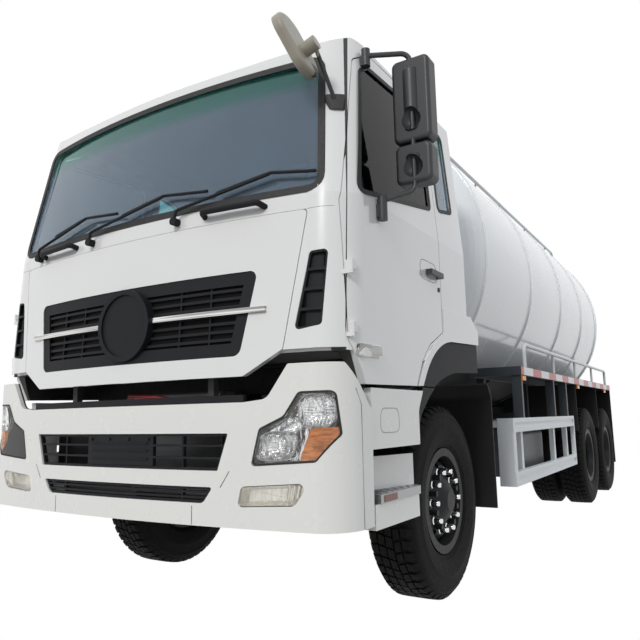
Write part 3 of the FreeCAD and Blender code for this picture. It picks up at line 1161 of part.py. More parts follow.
def walkway():
    """The two chequer strips that lie on the barrel's top beside the manhole."""
    hollow = cyl("y", V(0, (TANK_FRONT + TANK_REAR) / 2, TANK_Z), TANK_R + BAND_T + SEAL_GAP, 6000)
    x0 = 290.0
    plate = box(x0, x0 + 230, WALK_FRONT + 60, WALK_REAR, WALK_TOP - 12, WALK_TOP)
    legs = [box(x0 + 10, x0 + 220, y - 20, y + 20, WALK_TOP - 194, WALK_TOP - 10).cut(hollow)
            for y in (WALK_FRONT + 200.0, BAND_Y[0] + 440.0, BAND_Y[1] + 420.0, WALK_REAR - 400.0)]
    add("top_walkway", both_sides(fuse([plate.cut(hollow)] + legs)))


def front_mudguard():
    """The black guard over and behind each front wheel."""
    sheet = [(2195, 420, 0), (2210, 420, 0), (2210, 960, 150), (2130, 1150, 100), (2040, 1212, 60), (1672, 1214, 10),
             (1590, 1272, 0), (1580, 1262, 0), (1664, 1200, 10), (2034, 1198, 50), (2119, 1142, 90), (2195, 956, 140)]
    flap = prism("x", sheet, 790, CAB_W + 4)
    stay = box(RAIL_OUT_X, 792, 2150, 2208, 985, 1035)
    return fuse([flap, stay])


def arch_front():
    """The black edge that carries the arch's line down to the step panel."""
    return prism("x", [(880.3, 960, 0), (880.3, 1060, 80), (945.3, 1160, 0), (957, 1179, 0), (1124, 1179, 0),
                       (1040, 1128, 80), (930, 1042, 80)], CAB_W - 40, CAB_W - 8)


def front_mudguard():
    """The black guard behind each front wheel."""
    sheet = [(2095, 420, 0), (2110, 420, 0), (2110, 1150, 60), (2040, 1240, 0), (2030, 1230, 0), (2095, 1146, 60)]
    flap = prism("x", sheet, 790, CAB_W + 4)
    stay = box(RAIL_OUT_X, 792, 2060, 2108, 985, 1035)
    return fuse([flap, stay])


def guards():
    """Side underrun guards of two ribbed rails on uprights, and the rear underrun bar."""
    x1 = PLATFORM_OUT
    frame = []
    for z in (GUARD_LOW, GUARD_HIGH - GUARD_RAIL_H):
        bar = box(x1 - 40, x1, GUARD_FRONT, GUARD_REAR, z, z + GUARD_RAIL_H)
        frame.append(bar.cut(box(x1 - 14, x1 + 1, GUARD_FRONT + 60, GUARD_REAR - 12, z + 34, z + GUARD_RAIL_H - 34)))
    nose = prism("z", [(x1 - 125, GUARD_FRONT, 6), (x1, GUARD_FRONT, 10), (x1, GUARD_FRONT + 60, 0),
                       (x1 - 40, GUARD_FRONT + 60, 0), (x1 - 40, GUARD_FRONT + 30, 0),
                       (x1 - 125, GUARD_FRONT + 30, 6)], GUARD_LOW, GUARD_HIGH)
    uprights = [box(x1 - 80, x1 - 39, y - 28, y + 28, GUARD_LOW, GUARD_HIGH) for y in GUARD_POSTS]
    end = box(x1 - 40, x1, GUARD_REAR - 26, GUARD_REAR, GUARD_LOW, GUARD_HIGH)
    hangers = [box(RAIL_OUT_X, x1 - 60, y - 25, y + 25, 925, 975) for y in GUARD_POSTS[::2]]
    side = fuse(frame + [nose, end] + uprights + hangers)
    bars = [box(-1180, 1180, RAIL_REAR, RAIL_REAR + BUMPER_BAR_T, z, z + 120) for z in (560, 890)]
    drop = box(360, 420, RAIL_REAR, RAIL_REAR + BUMPER_BAR_T, 560, 1010)
    add("underrun_guards", Part.makeCompound([side, mirrored(side), fuse(bars + [drop, mirrored(drop)])]))


def side_equipment():
    """Fuel tank on the left, vacuum pump and battery box on the right."""
    tank = prism("y", [(520, 520, 60), (1090, 520, 60), (1090, 900, 60), (520, 900, 60)], 3150, 4150)
    straps = [box(RAIL_OUT_X, 560, y - 20, y + 20, 860, 925).fuse(box(500, 530, y - 20, y + 20, 560, 925))
              for y in (3350.0, 3950.0)]
    add("fuel_tank", fuse([tank] + straps))
    battery = box(-1090, -560, 2750, 3350, 600, 900).fuse(box(-600, -RAIL_OUT_X, 2800, 3300, 820, 880))
    silencer = cyl("y", V(-800, 4600, 640), 160, 620)
    bracket = box(-700, -RAIL_OUT_X, 4560, 4640, 770, 830).fuse(box(-760, -690, 4560, 4640, 740, 830))
    add("battery_box", Part.makeCompound([battery, fuse([silencer, bracket])]))
    case = cyl("y", V(-800, 3800, 720), 170, 420)
    motor = cyl("y", V(-800, 4070, 720), 90, 120)
    riser = tube([(-800, 3800, 860), (-800, 3800, 1080), (-800, 3640, 1080)], 45, 60)
    foot = box(-800, -RAIL_OUT_X, 3650, 3950, 800, 860)
    add("vacuum_pump", fuse([case, motor, riser, foot]))


def main():
    os.makedirs("parts", exist_ok=True)
    cab()
    cab_outside()
    fenders()
    cab_inside()
    front_end()
    steps()
    wheels()
    running_gear()
    chassis()
    barrel()
    saddles()
    platforms()
    guards()
    side_equipment()
    for name, shape in parts.items():
        moved = shape.copy()
        moved.translate(V(0, -ORIGIN_Y, 0))
        moved.exportStep(f"parts/{name}.step")


main()
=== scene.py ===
"""Looks of the suction truck: camera, light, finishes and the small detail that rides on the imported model.

Places are given in stations: x to the truck's left, y rearward from the bumper's face, z up from the ground.
"""

import math

import bpy
from mathutils import Matrix, Vector

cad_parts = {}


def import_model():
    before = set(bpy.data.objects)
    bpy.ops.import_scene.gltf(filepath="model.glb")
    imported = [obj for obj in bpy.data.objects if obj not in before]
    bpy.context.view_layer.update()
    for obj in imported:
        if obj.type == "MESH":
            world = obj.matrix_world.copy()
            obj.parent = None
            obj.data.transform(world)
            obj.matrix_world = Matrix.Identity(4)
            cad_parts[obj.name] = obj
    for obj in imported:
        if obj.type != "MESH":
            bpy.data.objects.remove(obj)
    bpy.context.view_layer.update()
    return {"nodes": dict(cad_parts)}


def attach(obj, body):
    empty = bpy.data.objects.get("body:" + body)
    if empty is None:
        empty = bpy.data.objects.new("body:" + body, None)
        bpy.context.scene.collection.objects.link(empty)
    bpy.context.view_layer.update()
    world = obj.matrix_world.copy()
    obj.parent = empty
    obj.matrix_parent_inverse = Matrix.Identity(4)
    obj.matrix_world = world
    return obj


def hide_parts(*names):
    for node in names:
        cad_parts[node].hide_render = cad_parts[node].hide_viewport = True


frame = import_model()

# Station of the model's origin
SHIFT = 4.110

# Camera, as it stands to the truck in the picture
CAMERA_AT = (2.543, -2.173, 1.032)
CAMERA_YAW = 31.808
CAMERA_PITCH = 8.771
CAMERA_ROLL = -1.093
CAMERA_LENS = 35.56

# Places shared by several details
WHEEL_R = 0.5425
FRONT_AXLE_Y = 1.441
REAR_AXLES_Y = (5.891, 7.241)
FRONT_WHEEL_X = 1.02
DUAL_X = (0.765, 1.095)
FRONT_FACE = 0.078
DUAL_FACE = 0.165 + 0.014
NUT_COUNT = 10
NUT_CIRCLE_R = 0.1675

# The cab's nose and flanks: the waist, and how far the faces lean back and in from there to the roof
WAIST_Z = 2.045
UPPER_H = 0.965
NOSE_LEAN = 0.187
FLANK_X = 1.24
FLANK_LEAN = 0.075
NOSE_BOW = 0.088

# Light
SKY_STRENGTH = 0.82
SUN_STRENGTH = 1.3
SUN_WAY = (-0.06, 0.82, -0.56)
FLOOR_HALF = 60.0


# Finishes

def tree(name):
    mat = bpy.data.materials.new(name)
    mat.use_nodes = True
    nodes, links = mat.node_tree.nodes, mat.node_tree.links
    shader = nodes["Principled BSDF"]
    coords = nodes.new("ShaderNodeTexCoord")
    return mat, nodes, links, shader, coords


def noise(nodes, links, coords, scale, detail=4.0, rough=0.55):
    n = nodes.new("ShaderNodeTexNoise")
    n.inputs["Scale"].default_value = scale
    n.inputs["Detail"].default_value = detail
    n.inputs["Roughness"].default_value = rough
    links.new(coords.outputs["Object"], n.inputs["Vector"])
    return n


def remap(nodes, links, socket, low, high, to_low, to_high):
    m = nodes.new("ShaderNodeMapRange")
    m.inputs["From Min"].default_value = low
    m.inputs["From Max"].default_value = high
    m.inputs["To Min"].default_value = to_low
    m.inputs["To Max"].default_value = to_high
    links.new(socket, m.inputs["Value"])
    return m.outputs["Result"]


def blend(nodes, links, factor, a, b):
    """Mixes two colours, each a tuple or a socket, by a socket."""
    m = nodes.new("ShaderNodeMix")
    m.data_type = "RGBA"
    links.new(factor, m.inputs[0])
    for value, place in ((a, 6), (b, 7)):
        if isinstance(value, tuple):
            m.inputs[place].default_value = (*value, 1)
        else:
            links.new(value, m.inputs[place])
    return m.outputs[2]


def shade(color, k):
    return tuple(min(c * k, 1.0) for c in color)


def calc(nodes, links, operation, a, b=0.0):
    """One arithmetic step on sockets or numbers."""
    m = nodes.new("ShaderNodeMath")
    m.operation = operation
    for value, place in ((a, 0), (b, 1)):
        if isinstance(value, (int, float)):
            m.inputs[place].default_value = value
        else:
            links.new(value, m.inputs[place])
    return m.outputs[0]


def masked(name, base, other, mask):
    """The finish called base, with the colour and roughness of other where mask, made from places, is 1."""
    mat = looks[base].copy()
    mat.name = name
    nodes, links = mat.node_tree.nodes, mat.node_tree.links
    coords = next(n for n in nodes if n.type == "TEX_COORD")
    shader = next(n for n in nodes if n.type == "BSDF_PRINCIPLED")
    split = nodes.new("ShaderNodeSeparateXYZ")
    links.new(coords.outputs["Object"], split.inputs[0])
    where = mask(nodes, links, split.outputs["X"], split.outputs["Y"], split.outputs["Z"])
    tone, rough = other
    old = shader.inputs["Base Color"].links[0].from_socket
    links.new(blend(nodes, links, where, old, tone), shader.inputs["Base Color"])
    old = shader.inputs["Roughness"].links[0].from_socket
    links.new(calc(nodes, links, "MAXIMUM", old, calc(nodes, links, "MULTIPLY", where, rough)),
              shader.inputs["Roughness"])
    coat = shader.inputs["Coat Weight"].default_value
    links.new(remap(nodes, links, where, 0.0, 1.0, coat, 0.0), shader.inputs["Coat Weight"])
    return mat


def finish_of(name, color, rough=0.35, metal=0.0, coat=0.0, vary=0.05, grain=60.0, bump=0.03, dust=0.0,
              dust_top=1.2, dust_color=(0.30, 0.26, 0.21), spec=0.5):
    """A painted, moulded or metal surface, slightly uneven, with road dust that thins out with height."""
    mat, nodes, links, shader, coords = tree(name)
    broad = noise(nodes, links, coords, 1.7)
    tone = blend(nodes, links, broad.outputs["Fac"], shade(color, 1 - vary), shade(color, 1 + vary))
    if dust:
        split = nodes.new("ShaderNodeSeparateXYZ")
        links.new(coords.outputs["Object"], split.inputs[0])
        height = remap(nodes, links, split.outputs["Z"], 0.2, dust_top, 1.0, 0.0)
        specks = noise(nodes, links, coords, 9.0, 8.0, 0.7)
        spots = remap(nodes, links, specks.outputs["Fac"], 0.35, 0.75, 0.2, 1.0)
        amount = nodes.new("ShaderNodeMath")
        amount.operation = "MULTIPLY"
        links.new(height, amount.inputs[0])
        links.new(spots, amount.inputs[1])
        scaled = nodes.new("ShaderNodeMath")
        scaled.operation = "MULTIPLY"
        links.new(amount.outputs[0], scaled.inputs[0])
        scaled.inputs[1].default_value = dust
        tone = blend(nodes, links, scaled.outputs[0], tone, dust_color)
    links.new(tone, shader.inputs["Base Color"])
    fine = noise(nodes, links, coords, grain, 6.0)
    links.new(remap(nodes, links, fine.outputs["Fac"], 0.2, 0.8, rough * 0.8, min(rough * 1.25, 1.0)),
              shader.inputs["Roughness"])
    shader.inputs["Metallic"].default_value = metal
    shader.inputs["Coat Weight"].default_value = coat
    shader.inputs["Coat Roughness"].default_value = 0.06
    shader.inputs["Specular IOR Level"].default_value = spec
    b = nodes.new("ShaderNodeBump")
    b.inputs["Strength"].default_value = bump
    b.inputs["Distance"].default_value = 0.002
    links.new(fine.outputs["Fac"], b.inputs["Height"])
    links.new(b.outputs["Normal"], shader.inputs["Normal"])
    return mat


def glass(name, color, rough=0.02, band=False, transmission=1.0, ior=1.45, glare=(1.0, 1.0, 1.0)):
    """Clear or tinted glass, with a green band along the top where asked."""
    mat, nodes, links, shader, coords = tree(name)
    haze = noise(nodes, links, coords, 6.0, 6.0)
    tone = blend(nodes, links, haze.outputs["Fac"], shade(color, 0.94), shade(color, 1.04))
    if band:
        split = nodes.new("ShaderNodeSeparateXYZ")
        links.new(coords.outputs["Object"], split.inputs[0])
        up = remap(nodes, links, split.outputs["Z"], 2.62, 2.70, 0.0, 1.0)
        tone = blend(nodes, links, up, tone, (0.22, 0.62, 0.55))
    links.new(tone, shader.inputs["Base Color"])
    smear = remap(nodes, links, haze.outputs["Fac"], 0.3, 0.7, rough, rough * 2.5)
    links.new(smear, shader.inputs["Roughness"])
    shader.inputs["Transmission Weight"].default_value = transmission
    shader.inputs["Specular Tint"].default_value = (*glare, 1)
    shader.inputs["IOR"].default_value = ior
    return mat


def fluted_with_painted_streaks(name, color, metal, across, along, depth, rough=0.08, vary=0.12):
    """Moulded optics: a bright or tinted face with fine flutes, closer along x than along z, with light and
    dark streaks along the flutes painted into its colour as reflection.
    """
    mat, nodes, links, shader, coords = tree(name)
    stretch = nodes.new("ShaderNodeMapping")
    stretch.inputs["Scale"].default_value = (across, across, along)
    links.new(coords.outputs["Object"], stretch.inputs["Vector"])
    flutes = nodes.new("ShaderNodeTexNoise")
    flutes.inputs["Scale"].default_value = 1.0
    flutes.inputs["Detail"].default_value = 2.0
    links.new(stretch.outputs["Vector"], flutes.inputs["Vector"])
    # Painted reflection: the colour turns lighter and darker along the flutes, as light catches them.
    tone = blend(nodes, links, remap(nodes, links, flutes.outputs["Fac"], 0.38, 0.62, 0.0, 1.0),
                 shade(color, 1 - vary), shade(color, 1 + vary))
    links.new(tone, shader.inputs["Base Color"])
    shader.inputs["Metallic"].default_value = metal
    shader.inputs["Roughness"].default_value = rough
    shader.inputs["Coat Weight"].default_value = 0.5
    b = nodes.new("ShaderNodeBump")
    b.inputs["Strength"].default_value = 0.9
    b.inputs["Distance"].default_value = depth
    links.new(flutes.outputs["Fac"], b.inputs["Height"])
    links.new(b.outputs["Normal"], shader.inputs["Normal"])
    return mat


def strip_finish(name):
    """Red and white reflective tape in blocks along the truck, under a fine cell pattern."""
    mat, nodes, links, shader, coords = tree(name)
    split = nodes.new("ShaderNodeSeparateXYZ")
    links.new(coords.outputs["Object"], split.inputs[0])
    turn = nodes.new("ShaderNodeMath")
    turn.operation = "PINGPONG"
    turn.inputs[1].default_value = 0.30
    links.new(split.outputs["Y"], turn.inputs[0])
    step = nodes.new("ShaderNodeMath")
    step.operation = "GREATER_THAN"
    step.inputs[1].default_value = 0.15
    links.new(turn.outputs[0], step.inputs[0])
    cells = nodes.new("ShaderNodeTexVoronoi")
    cells.inputs["Scale"].default_value = 160.0
    links.new(coords.outputs["Object"], cells.inputs["Vector"])
    red = blend(nodes, links, cells.outputs["Distance"], (0.62, 0.02, 0.02), (0.42, 0.01, 0.012))
    white = blend(nodes, links, cells.outputs["Distance"], (0.86, 0.86, 0.85), (0.68, 0.69, 0.70))
    links.new(blend(nodes, links, step.outputs[0], red, white), shader.inputs["Base Color"])
    shader.inputs["Roughness"].default_value = 0.3
    return mat


CREAM = (0.85, 0.845, 0.81)
looks = {
    "body_white": finish_of("body_white", (0.82, 0.82, 0.81), 0.22, coat=0.8, vary=0.02, bump=0.004, grain=8),
    "bumper_white": finish_of("bumper_white", CREAM, 0.25, coat=0.7, vary=0.02, bump=0.004, grain=8),
    "black_plastic": finish_of("black_plastic", (0.010, 0.011, 0.014), 0.55, bump=0.08, grain=240, vary=0.2,
                               dust=0.03, dust_top=2.5, spec=0.18),
    "mirror_black": finish_of("mirror_black", (0.030, 0.032, 0.036), 0.42, bump=0.06, grain=260, vary=0.15),
    "kerb_beige": finish_of("kerb_beige", (0.36, 0.33, 0.27), 0.40, vary=0.08, bump=0.03),
    "glass": glass("glass", (0.55, 0.69, 0.84), band=True, transmission=0.88, glare=(0.70, 0.86, 1.0)),
    "glass_dark": glass("glass_dark", (0.020, 0.026, 0.028), ior=1.18),
    "lamp_clear": glass("lamp_clear", (0.97, 0.98, 0.98), 0.01),
    "bright_trim": fluted_with_painted_streaks("bright_trim", (0.55, 0.55, 0.54), 1.0, 2.0, 110.0, 0.004, 0.10, 0.45),
    "seat_cloth": finish_of("seat_cloth", (0.17, 0.11, 0.075), 0.85, grain=180, bump=0.4, vary=0.2),
    "dash_grey": finish_of("dash_grey", (0.16, 0.15, 0.14), 0.55, grain=150, bump=0.15, vary=0.1),
    "tyre": finish_of("tyre", (0.006, 0.006, 0.006), 0.75, grain=90, bump=0.25, vary=0.25,
                      dust=0.02, dust_top=1.1, spec=0.15),
    "wheel_black": finish_of("wheel_black", (0.010, 0.011, 0.013), 0.48, vary=0.2, bump=0.03,
                             dust=0.03, spec=0.25),
    "chassis_black": finish_of("chassis_black", (0.010, 0.011, 0.013), 0.50, vary=0.3, bump=0.05,
                               dust=0.04, spec=0.25),
    "tank_white": finish_of("tank_white", (0.83, 0.855, 0.87), 0.24, coat=0.6, vary=0.008,
                            bump=0.004, grain=5),
    "guard_grey": finish_of("guard_grey", (0.82, 0.85, 0.86), 0.36, vary=0.03, bump=0.01, dust=0.05),
    "slate_grey": finish_of("slate_grey", (0.035, 0.042, 0.050), 0.42, vary=0.2, bump=0.04, dust=0.1),
    "rail_paint": finish_of("rail_paint", (0.66, 0.68, 0.69), 0.30, vary=0.03, bump=0.01),
    "mud_rubber": finish_of("mud_rubber", (0.009, 0.009, 0.010), 0.60, vary=0.3, bump=0.10,
                            dust=0.04, spec=0.25),
    "tread_alu": finish_of("tread_alu", (0.34, 0.35, 0.36), 0.36, metal=1.0, vary=0.06, bump=0.06, grain=120),
    "engine_grey": finish_of("engine_grey", (0.05, 0.052, 0.056), 0.5, metal=0.3, vary=0.25, bump=0.2),
    "valve_red": finish_of("valve_red", (0.42, 0.035, 0.03), 0.35, vary=0.08, bump=0.05),
    "seal": finish_of("seal", (0.010, 0.010, 0.011), 0.6, bump=0.1, vary=0.2),
    "chrome": finish_of("chrome", (0.72, 0.73, 0.74), 0.07, metal=1.0, vary=0.04, bump=0.01),
    "amber": glass("amber", (1.0, 0.36, 0.01), 0.10, transmission=0.25),
    "red_lens": glass("red_lens", (0.75, 0.03, 0.02), 0.10, transmission=0.35),
    "mirror_glass": finish_of("mirror_glass", (0.80, 0.82, 0.84), 0.03, metal=1.0, vary=0.02, bump=0.0),
    "tape": strip_finish("tape"),
    # The lamp reflectors' chrome carries strong painted reflection streaks.
    "fluted_chrome": fluted_with_painted_streaks("fluted_chrome", (0.86, 0.87, 0.89), 1.0, 60.0, 24.0, 0.008, 0.05, 0.30),
    "fog_cream": fluted_with_painted_streaks("fog_cream", (0.80, 0.77, 0.69), 0.55, 70.0, 20.0, 0.003, 0.22),
    "amber_ribbed": fluted_with_painted_streaks("amber_ribbed", (0.55, 0.16, 0.004), 0.0, 20.0, 90.0, 0.001, 0.12, 0.35),
    "reflex_brown": finish_of("reflex_brown", (0.20, 0.05, 0.03), 0.15, vary=0.2, grain=300, bump=0.2),
    "marker_base": finish_of("marker_base", (0.42, 0.42, 0.41), 0.35, vary=0.05),
    "seam_grey": finish_of("seam_grey", (0.40, 0.39, 0.37), 0.5, vary=0.1),
}


def inside_cab(nodes, links, x, y, z):
    """1 on the faces that look into the cab and on those below its body, 0 on the outer skin."""
    lean = remap(nodes, links, z, WAIST_Z, 3.010, 1.205, 1.130)
    reach = calc(nodes, links, "LESS_THAN", calc(nodes, links, "ABSOLUTE", x), lean)
    bow = calc(nodes, links, "MULTIPLY", calc(nodes, links, "MULTIPLY", x, x), NOSE_BOW)
    nose = calc(nodes, links, "ADD", remap(nodes, links, z, 1.15, WAIST_Z, 0.010, 0.068), bow)
    lean_back = remap(nodes, links, z, WAIST_Z, 3.010, 0.0, NOSE_LEAN)
    nose = calc(nodes, links, "ADD", calc(nodes, links, "ADD", nose, lean_back), 0.042 - SHIFT)
    behind = calc(nodes, links, "GREATER_THAN", y, nose)
    ahead = calc(nodes, links, "LESS_THAN", y, 1.655 - SHIFT)
    under = calc(nodes, links, "LESS_THAN", z, 2.965)
    hollow = calc(nodes, links, "MULTIPLY", calc(nodes, links, "MULTIPLY", reach, behind),
                  calc(nodes, links, "MULTIPLY", ahead, under))
    return calc(nodes, links, "MAXIMUM", hollow, calc(nodes, links, "LESS_THAN", z, 1.160))


def grille_recess_shade(nodes, links, x, y, z):
    """1 on the faces that lie back from the grille's front, which are painted darker there as shade in the
    recess.
    """
    bow = calc(nodes, links, "MULTIPLY", calc(nodes, links, "MULTIPLY", x, x), NOSE_BOW)
    nose = calc(nodes, links, "ADD", remap(nodes, links, z, 1.15, WAIST_Z, 0.010, 0.068), bow)
    return calc(nodes, links, "GREATER_THAN", y, calc(nodes, links, "ADD", nose, 0.0205 - SHIFT))


def behind_bumper(nodes, links, x, y, z):
    """1 on the bumper's inner faces."""
    side = calc(nodes, links, "ABSOLUTE", x)
    bow = calc(nodes, links, "MULTIPLY", calc(nodes, links, "MULTIPLY", x, x), 0.067)
    turn = calc(nodes, links, "MAXIMUM", calc(nodes, links, "SUBTRACT", side, 1.12), 0.0)
    skin = calc(nodes, links, "ADD", calc(nodes, links, "ADD", bow, turn), 0.022 - SHIFT)
    behind = calc(nodes, links, "GREATER_THAN", y, skin)
    return calc(nodes, links, "MULTIPLY", behind, calc(nodes, links, "LESS_THAN", side, 1.224))


def painted_belly_shade(nodes, links, x, y, z):
    """1 on the underside of the barrel, below the platforms, which is painted near black as the shade under
    the tank.
    """
    return calc(nodes, links, "LESS_THAN", z, 1.385)


def kerb_arm(nodes, links, x, y, z):
    """1 on the kerb mirror's arm and foot, 0 on its head and joint."""
    behind = calc(nodes, links, "GREATER_THAN", y, 0.150 - SHIFT)
    return calc(nodes, links, "MULTIPLY", calc(nodes, links, "GREATER_THAN", x, 1.080), behind)


TRIM_DARK = ((0.045, 0.043, 0.042), 0.6)
looks["cab_skin"] = masked("cab_skin", "body_white", TRIM_DARK, inside_cab)
looks["kerb_two"] = masked("kerb_two", "kerb_beige", ((0.02, 0.02, 0.022), 0.45), kerb_arm)
# Painted shade: the barrel's underside is made near black, as the shade under the tank.
looks["tank_two"] = masked("tank_two", "tank_white", ((0.008, 0.008, 0.009), 0.7), painted_belly_shade)
# Painted shade: the grille's faces that lie back are a near-black copy of its black.
looks["grille_two"] = masked("grille_two", "black_plastic", ((0.0015, 0.0015, 0.0016), 0.8), grille_recess_shade)
looks["bumper_two"] = masked("bumper_two", "bumper_white", ((0.012, 0.012, 0.013), 0.6), behind_bumper)
OWN_LOOKS = {
    "bumper": "bumper_two", "main_grille": "grille_two", "kerb_mirror": "kerb_two",
    "tank_barrel": "tank_two", "tank_heads": "tank_two",
    "cab_shell": "cab_skin", "door_left": "cab_skin", "door_right": "cab_skin",
    "door_glass_left": "glass_dark", "door_glass_right": "glass_dark",
}

for node, thing in frame["nodes"].items():
    names = [m.name.split(".")[0] for m in thing.data.materials]
    thing.data.materials.clear()
    for name in names:
        slot_name = next((k for k in looks if name.endswith(k)), "chassis_black")
        thing.data.materials.append(looks[OWN_LOOKS.get(node, slot_name)])


# Shapes

class Piece:
    """Collects faces in stations and turns them into one object that rides on a body."""

    def __init__(self):
        self.v, self.f = [], []

    def add(self, verts, faces):
        n = len(self.v)
        self.v += [tuple(p) for p in verts]
        self.f += [tuple(i + n for i in f) for f in faces]

    def box(self, x0, x1, y0, y1, z0, z1):
        verts = [(x, y, z) for x in (x0, x1) for y in (y0, y1) for z in (z0, z1)]
        self.add(verts, [(0, 1, 3, 2), (4, 6, 7, 5), (0, 4, 5, 1), (2, 3, 7, 6), (0, 2, 6, 4), (1, 5, 7, 3)])

    def loft(self, rings, close=True):
        """Joins closed loops of equally many points, with both ends filled."""
        n = len(rings[0])
        verts = [p for r in rings for p in r]
        faces = []
        for k in range(len(rings) - 1):
            for i in range(n):
                j = (i + 1) % n
                faces.append((k * n + i, k * n + j, (k + 1) * n + j, (k + 1) * n + i))
        if close:
            faces.append(tuple(range(n))[::-1])
            faces.append(tuple(range((len(rings) - 1) * n, len(rings) * n)))
        self.add(verts, faces)

    def tube(self, pts, r, seg=12):
        rings = []
        pts = [Vector(p) for p in pts]
        for i, p in enumerate(pts):
            d = (pts[min(i + 1, len(pts) - 1)] - pts[max(i - 1, 0)]).normalized()
            q = d.to_track_quat("Z", "Y")
            rings.append([p + q @ Vector((r * math.cos(t), r * math.sin(t), 0)) for t in
                          (2 * math.pi * k / seg for k in range(seg))])
        self.loft(rings)

    def lathe(self, profile, centre, axis, seg=32):
        """Turns (along, radius) points about an axis through centre."""
        c = Vector(centre)
        rings = []
        for k in range(seg):
            t = 2 * math.pi * k / seg
            ring = []
            for a, r in profile:
                u, v = r * math.cos(t), r * math.sin(t)
                ring.append(c + Vector({"x": (a, u, v), "y": (u, a, v), "z": (u, v, a)}[axis]))
            rings.append(ring)
        n = len(profile)
        verts = [p for r in rings for p in r]
        faces = []
        for k in range(seg):
            m = (k + 1) % seg
            for i in range(n - 1):
                faces.append((k * n + i, k * n + i + 1, m * n + i + 1, m * n + i))
        self.add(verts, faces)

    def both(self):
        """Adds the mirror image in x."""
        self.add([(-x, y, z) for x, y, z in self.v], [f[::-1] for f in self.f])

    def make(self, name, look, body, slot, smooth=False, sharp=40.0, origin=(0, 0, 0)):
        mesh = bpy.data.meshes.new(name)
        shift = SHIFT if origin == (0, 0, 0) else 0
        mesh.from_pydata([(x, y - shift, z) for x, y, z in self.v], [], self.f)
        mesh.validate()
        mesh.materials.append(looks[look])
        if smooth:
            mesh.shade_smooth()
            mesh.set_sharp_from_angle(angle=math.radians(sharp))
        return place(mesh, name, body, slot, origin)


def place(mesh, name, body, slot, origin=(0, 0, 0), turn=0.0):
    o = bpy.data.objects.new(name, mesh)
    bpy.context.scene.collection.objects.link(o)
    if origin != (0, 0, 0):
        o.location = (origin[0], origin[1] - SHIFT, origin[2])
        o.rotation_euler = (0, 0, turn)
        bpy.context.view_layer.update()
    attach(o, body)
    return o


def nose_y(x, z):
    """Station of the cab's nose at a place on its front."""
    below = 0.010 + 0.058 * (z - 1.15) / 0.895
    front = below if z < WAIST_Z else 0.068 + NOSE_LEAN * (z - WAIST_Z) / UPPER_H
    return front + 0.095 * (x / 1.04) ** 2


def arc_y(points, x):
    """Station on the circle through three (x, y) points, on the side of the bumper's face."""
    (x1, y1), (x2, y2), (x3, y3) = points
    s1, s2, s3 = (px ** 2 + py ** 2 for px, py in points)
    d = 2 * (x1 * (y2 - y3) + x2 * (y3 - y1) + x3 * (y1 - y2))
    ux = (s1 * (y2 - y3) + s2 * (y3 - y1) + s3 * (y1 - y2)) / d
    uy = (s1 * (x3 - x2) + s2 * (x1 - x3) + s3 * (x2 - x1)) / d
    r = math.hypot(x1 - ux, y1 - uy)
    return uy - math.sqrt(max(r * r - (x - ux) ** 2, 0))


def bumper_y(x):
    x = abs(x)
    if x <= 1.12:
        return arc_y([(-1.12, 0.084), (0, 0), (1.12, 0.084)], x)
    return arc_y([(1.12, 0.084), (1.2, 0.14), (1.245, 0.262)], x)


def side_x(z, y=1.0):
    """Distance of the cab's side from the middle, with the rounding into the nose."""
    flank = FLANK_X if z < WAIST_Z else FLANK_X - FLANK_LEAN * (z - WAIST_Z) / UPPER_H
    turn = 0.306 + 0.0605 * (z - 1.48)
    return flank - max(turn - y, 0.0) ** 2 / 0.290


def ribbon(piece, points, width, where, closed=True, thick=0.004):
    """A flat band along a path of (u, v) points, laid on the surface that where(u, v, lift) gives."""
    pts = [Vector(p) for p in points]
    n = len(pts)
    inner, outer = [], []
    for i, p in enumerate(pts):
        before = pts[i - 1] if closed or i else p - (pts[1] - p)
        after = pts[(i + 1) % n] if closed or i < n - 1 else p + (p - pts[i - 1])
        d1, d2 = (p - before).normalized(), (after - p).normalized()
        n1, n2 = Vector((-d1.y, d1.x)), Vector((-d2.y, d2.x))
        m = (n1 + n2).normalized()
        m = m / max(m.dot(n1), 0.3)
        inner.append(p + m * width / 2)
        outer.append(p - m * width / 2)
    count = n if closed else n - 1
    for i in range(count):
        j = (i + 1) % n
        quad = [outer[i], outer[j], inner[j], inner[i]]
        top = [where(q.x, q.y, thick) for q in quad]
        low = [where(q.x, q.y, -0.002) for q in quad]
        piece.loft([low, top])


def finer(points, step=0.05):
    """The path with points added so that it follows a curved surface."""
    out = []
    for a, b in zip(points, points[1:] + points[:1]):
        a, b = Vector(a), Vector(b)
        k = max(int((b - a).length / step), 1)
        out += [tuple(a.lerp(b, i / k)) for i in range(k)]
    return out


def rounded(points, r, seg=5):
    """An outline with its corners rounded."""
    out = []
    n = len(points)
    for i, p in enumerate(points):
        p, a, b = Vector(p), Vector(points[i - 1]), Vector(points[(i + 1) % n])
        da, db = (a - p).normalized(), (b - p).normalized()
        half = da.angle(db) / 2
        reach = min(r / math.tan(half), (a - p).length / 2.1, (b - p).length / 2.1)
        s, e = p + da * reach, p + db * reach
        for k in range(seg + 1):
            t = k / seg
            out.append(tuple(s * (1 - t) ** 2 + p * 2 * t * (1 - t) + e * t * t))
    return out


def on_nose(u, v, lift):
    return (u, nose_y(u, v) - lift, v)


def on_bumper(u, v, lift):
    return (u, bumper_y(u) - lift, v)


def on_side(u, v, lift):
    return (side_x(v, u) + lift, u, v)


# Tyres and wheels

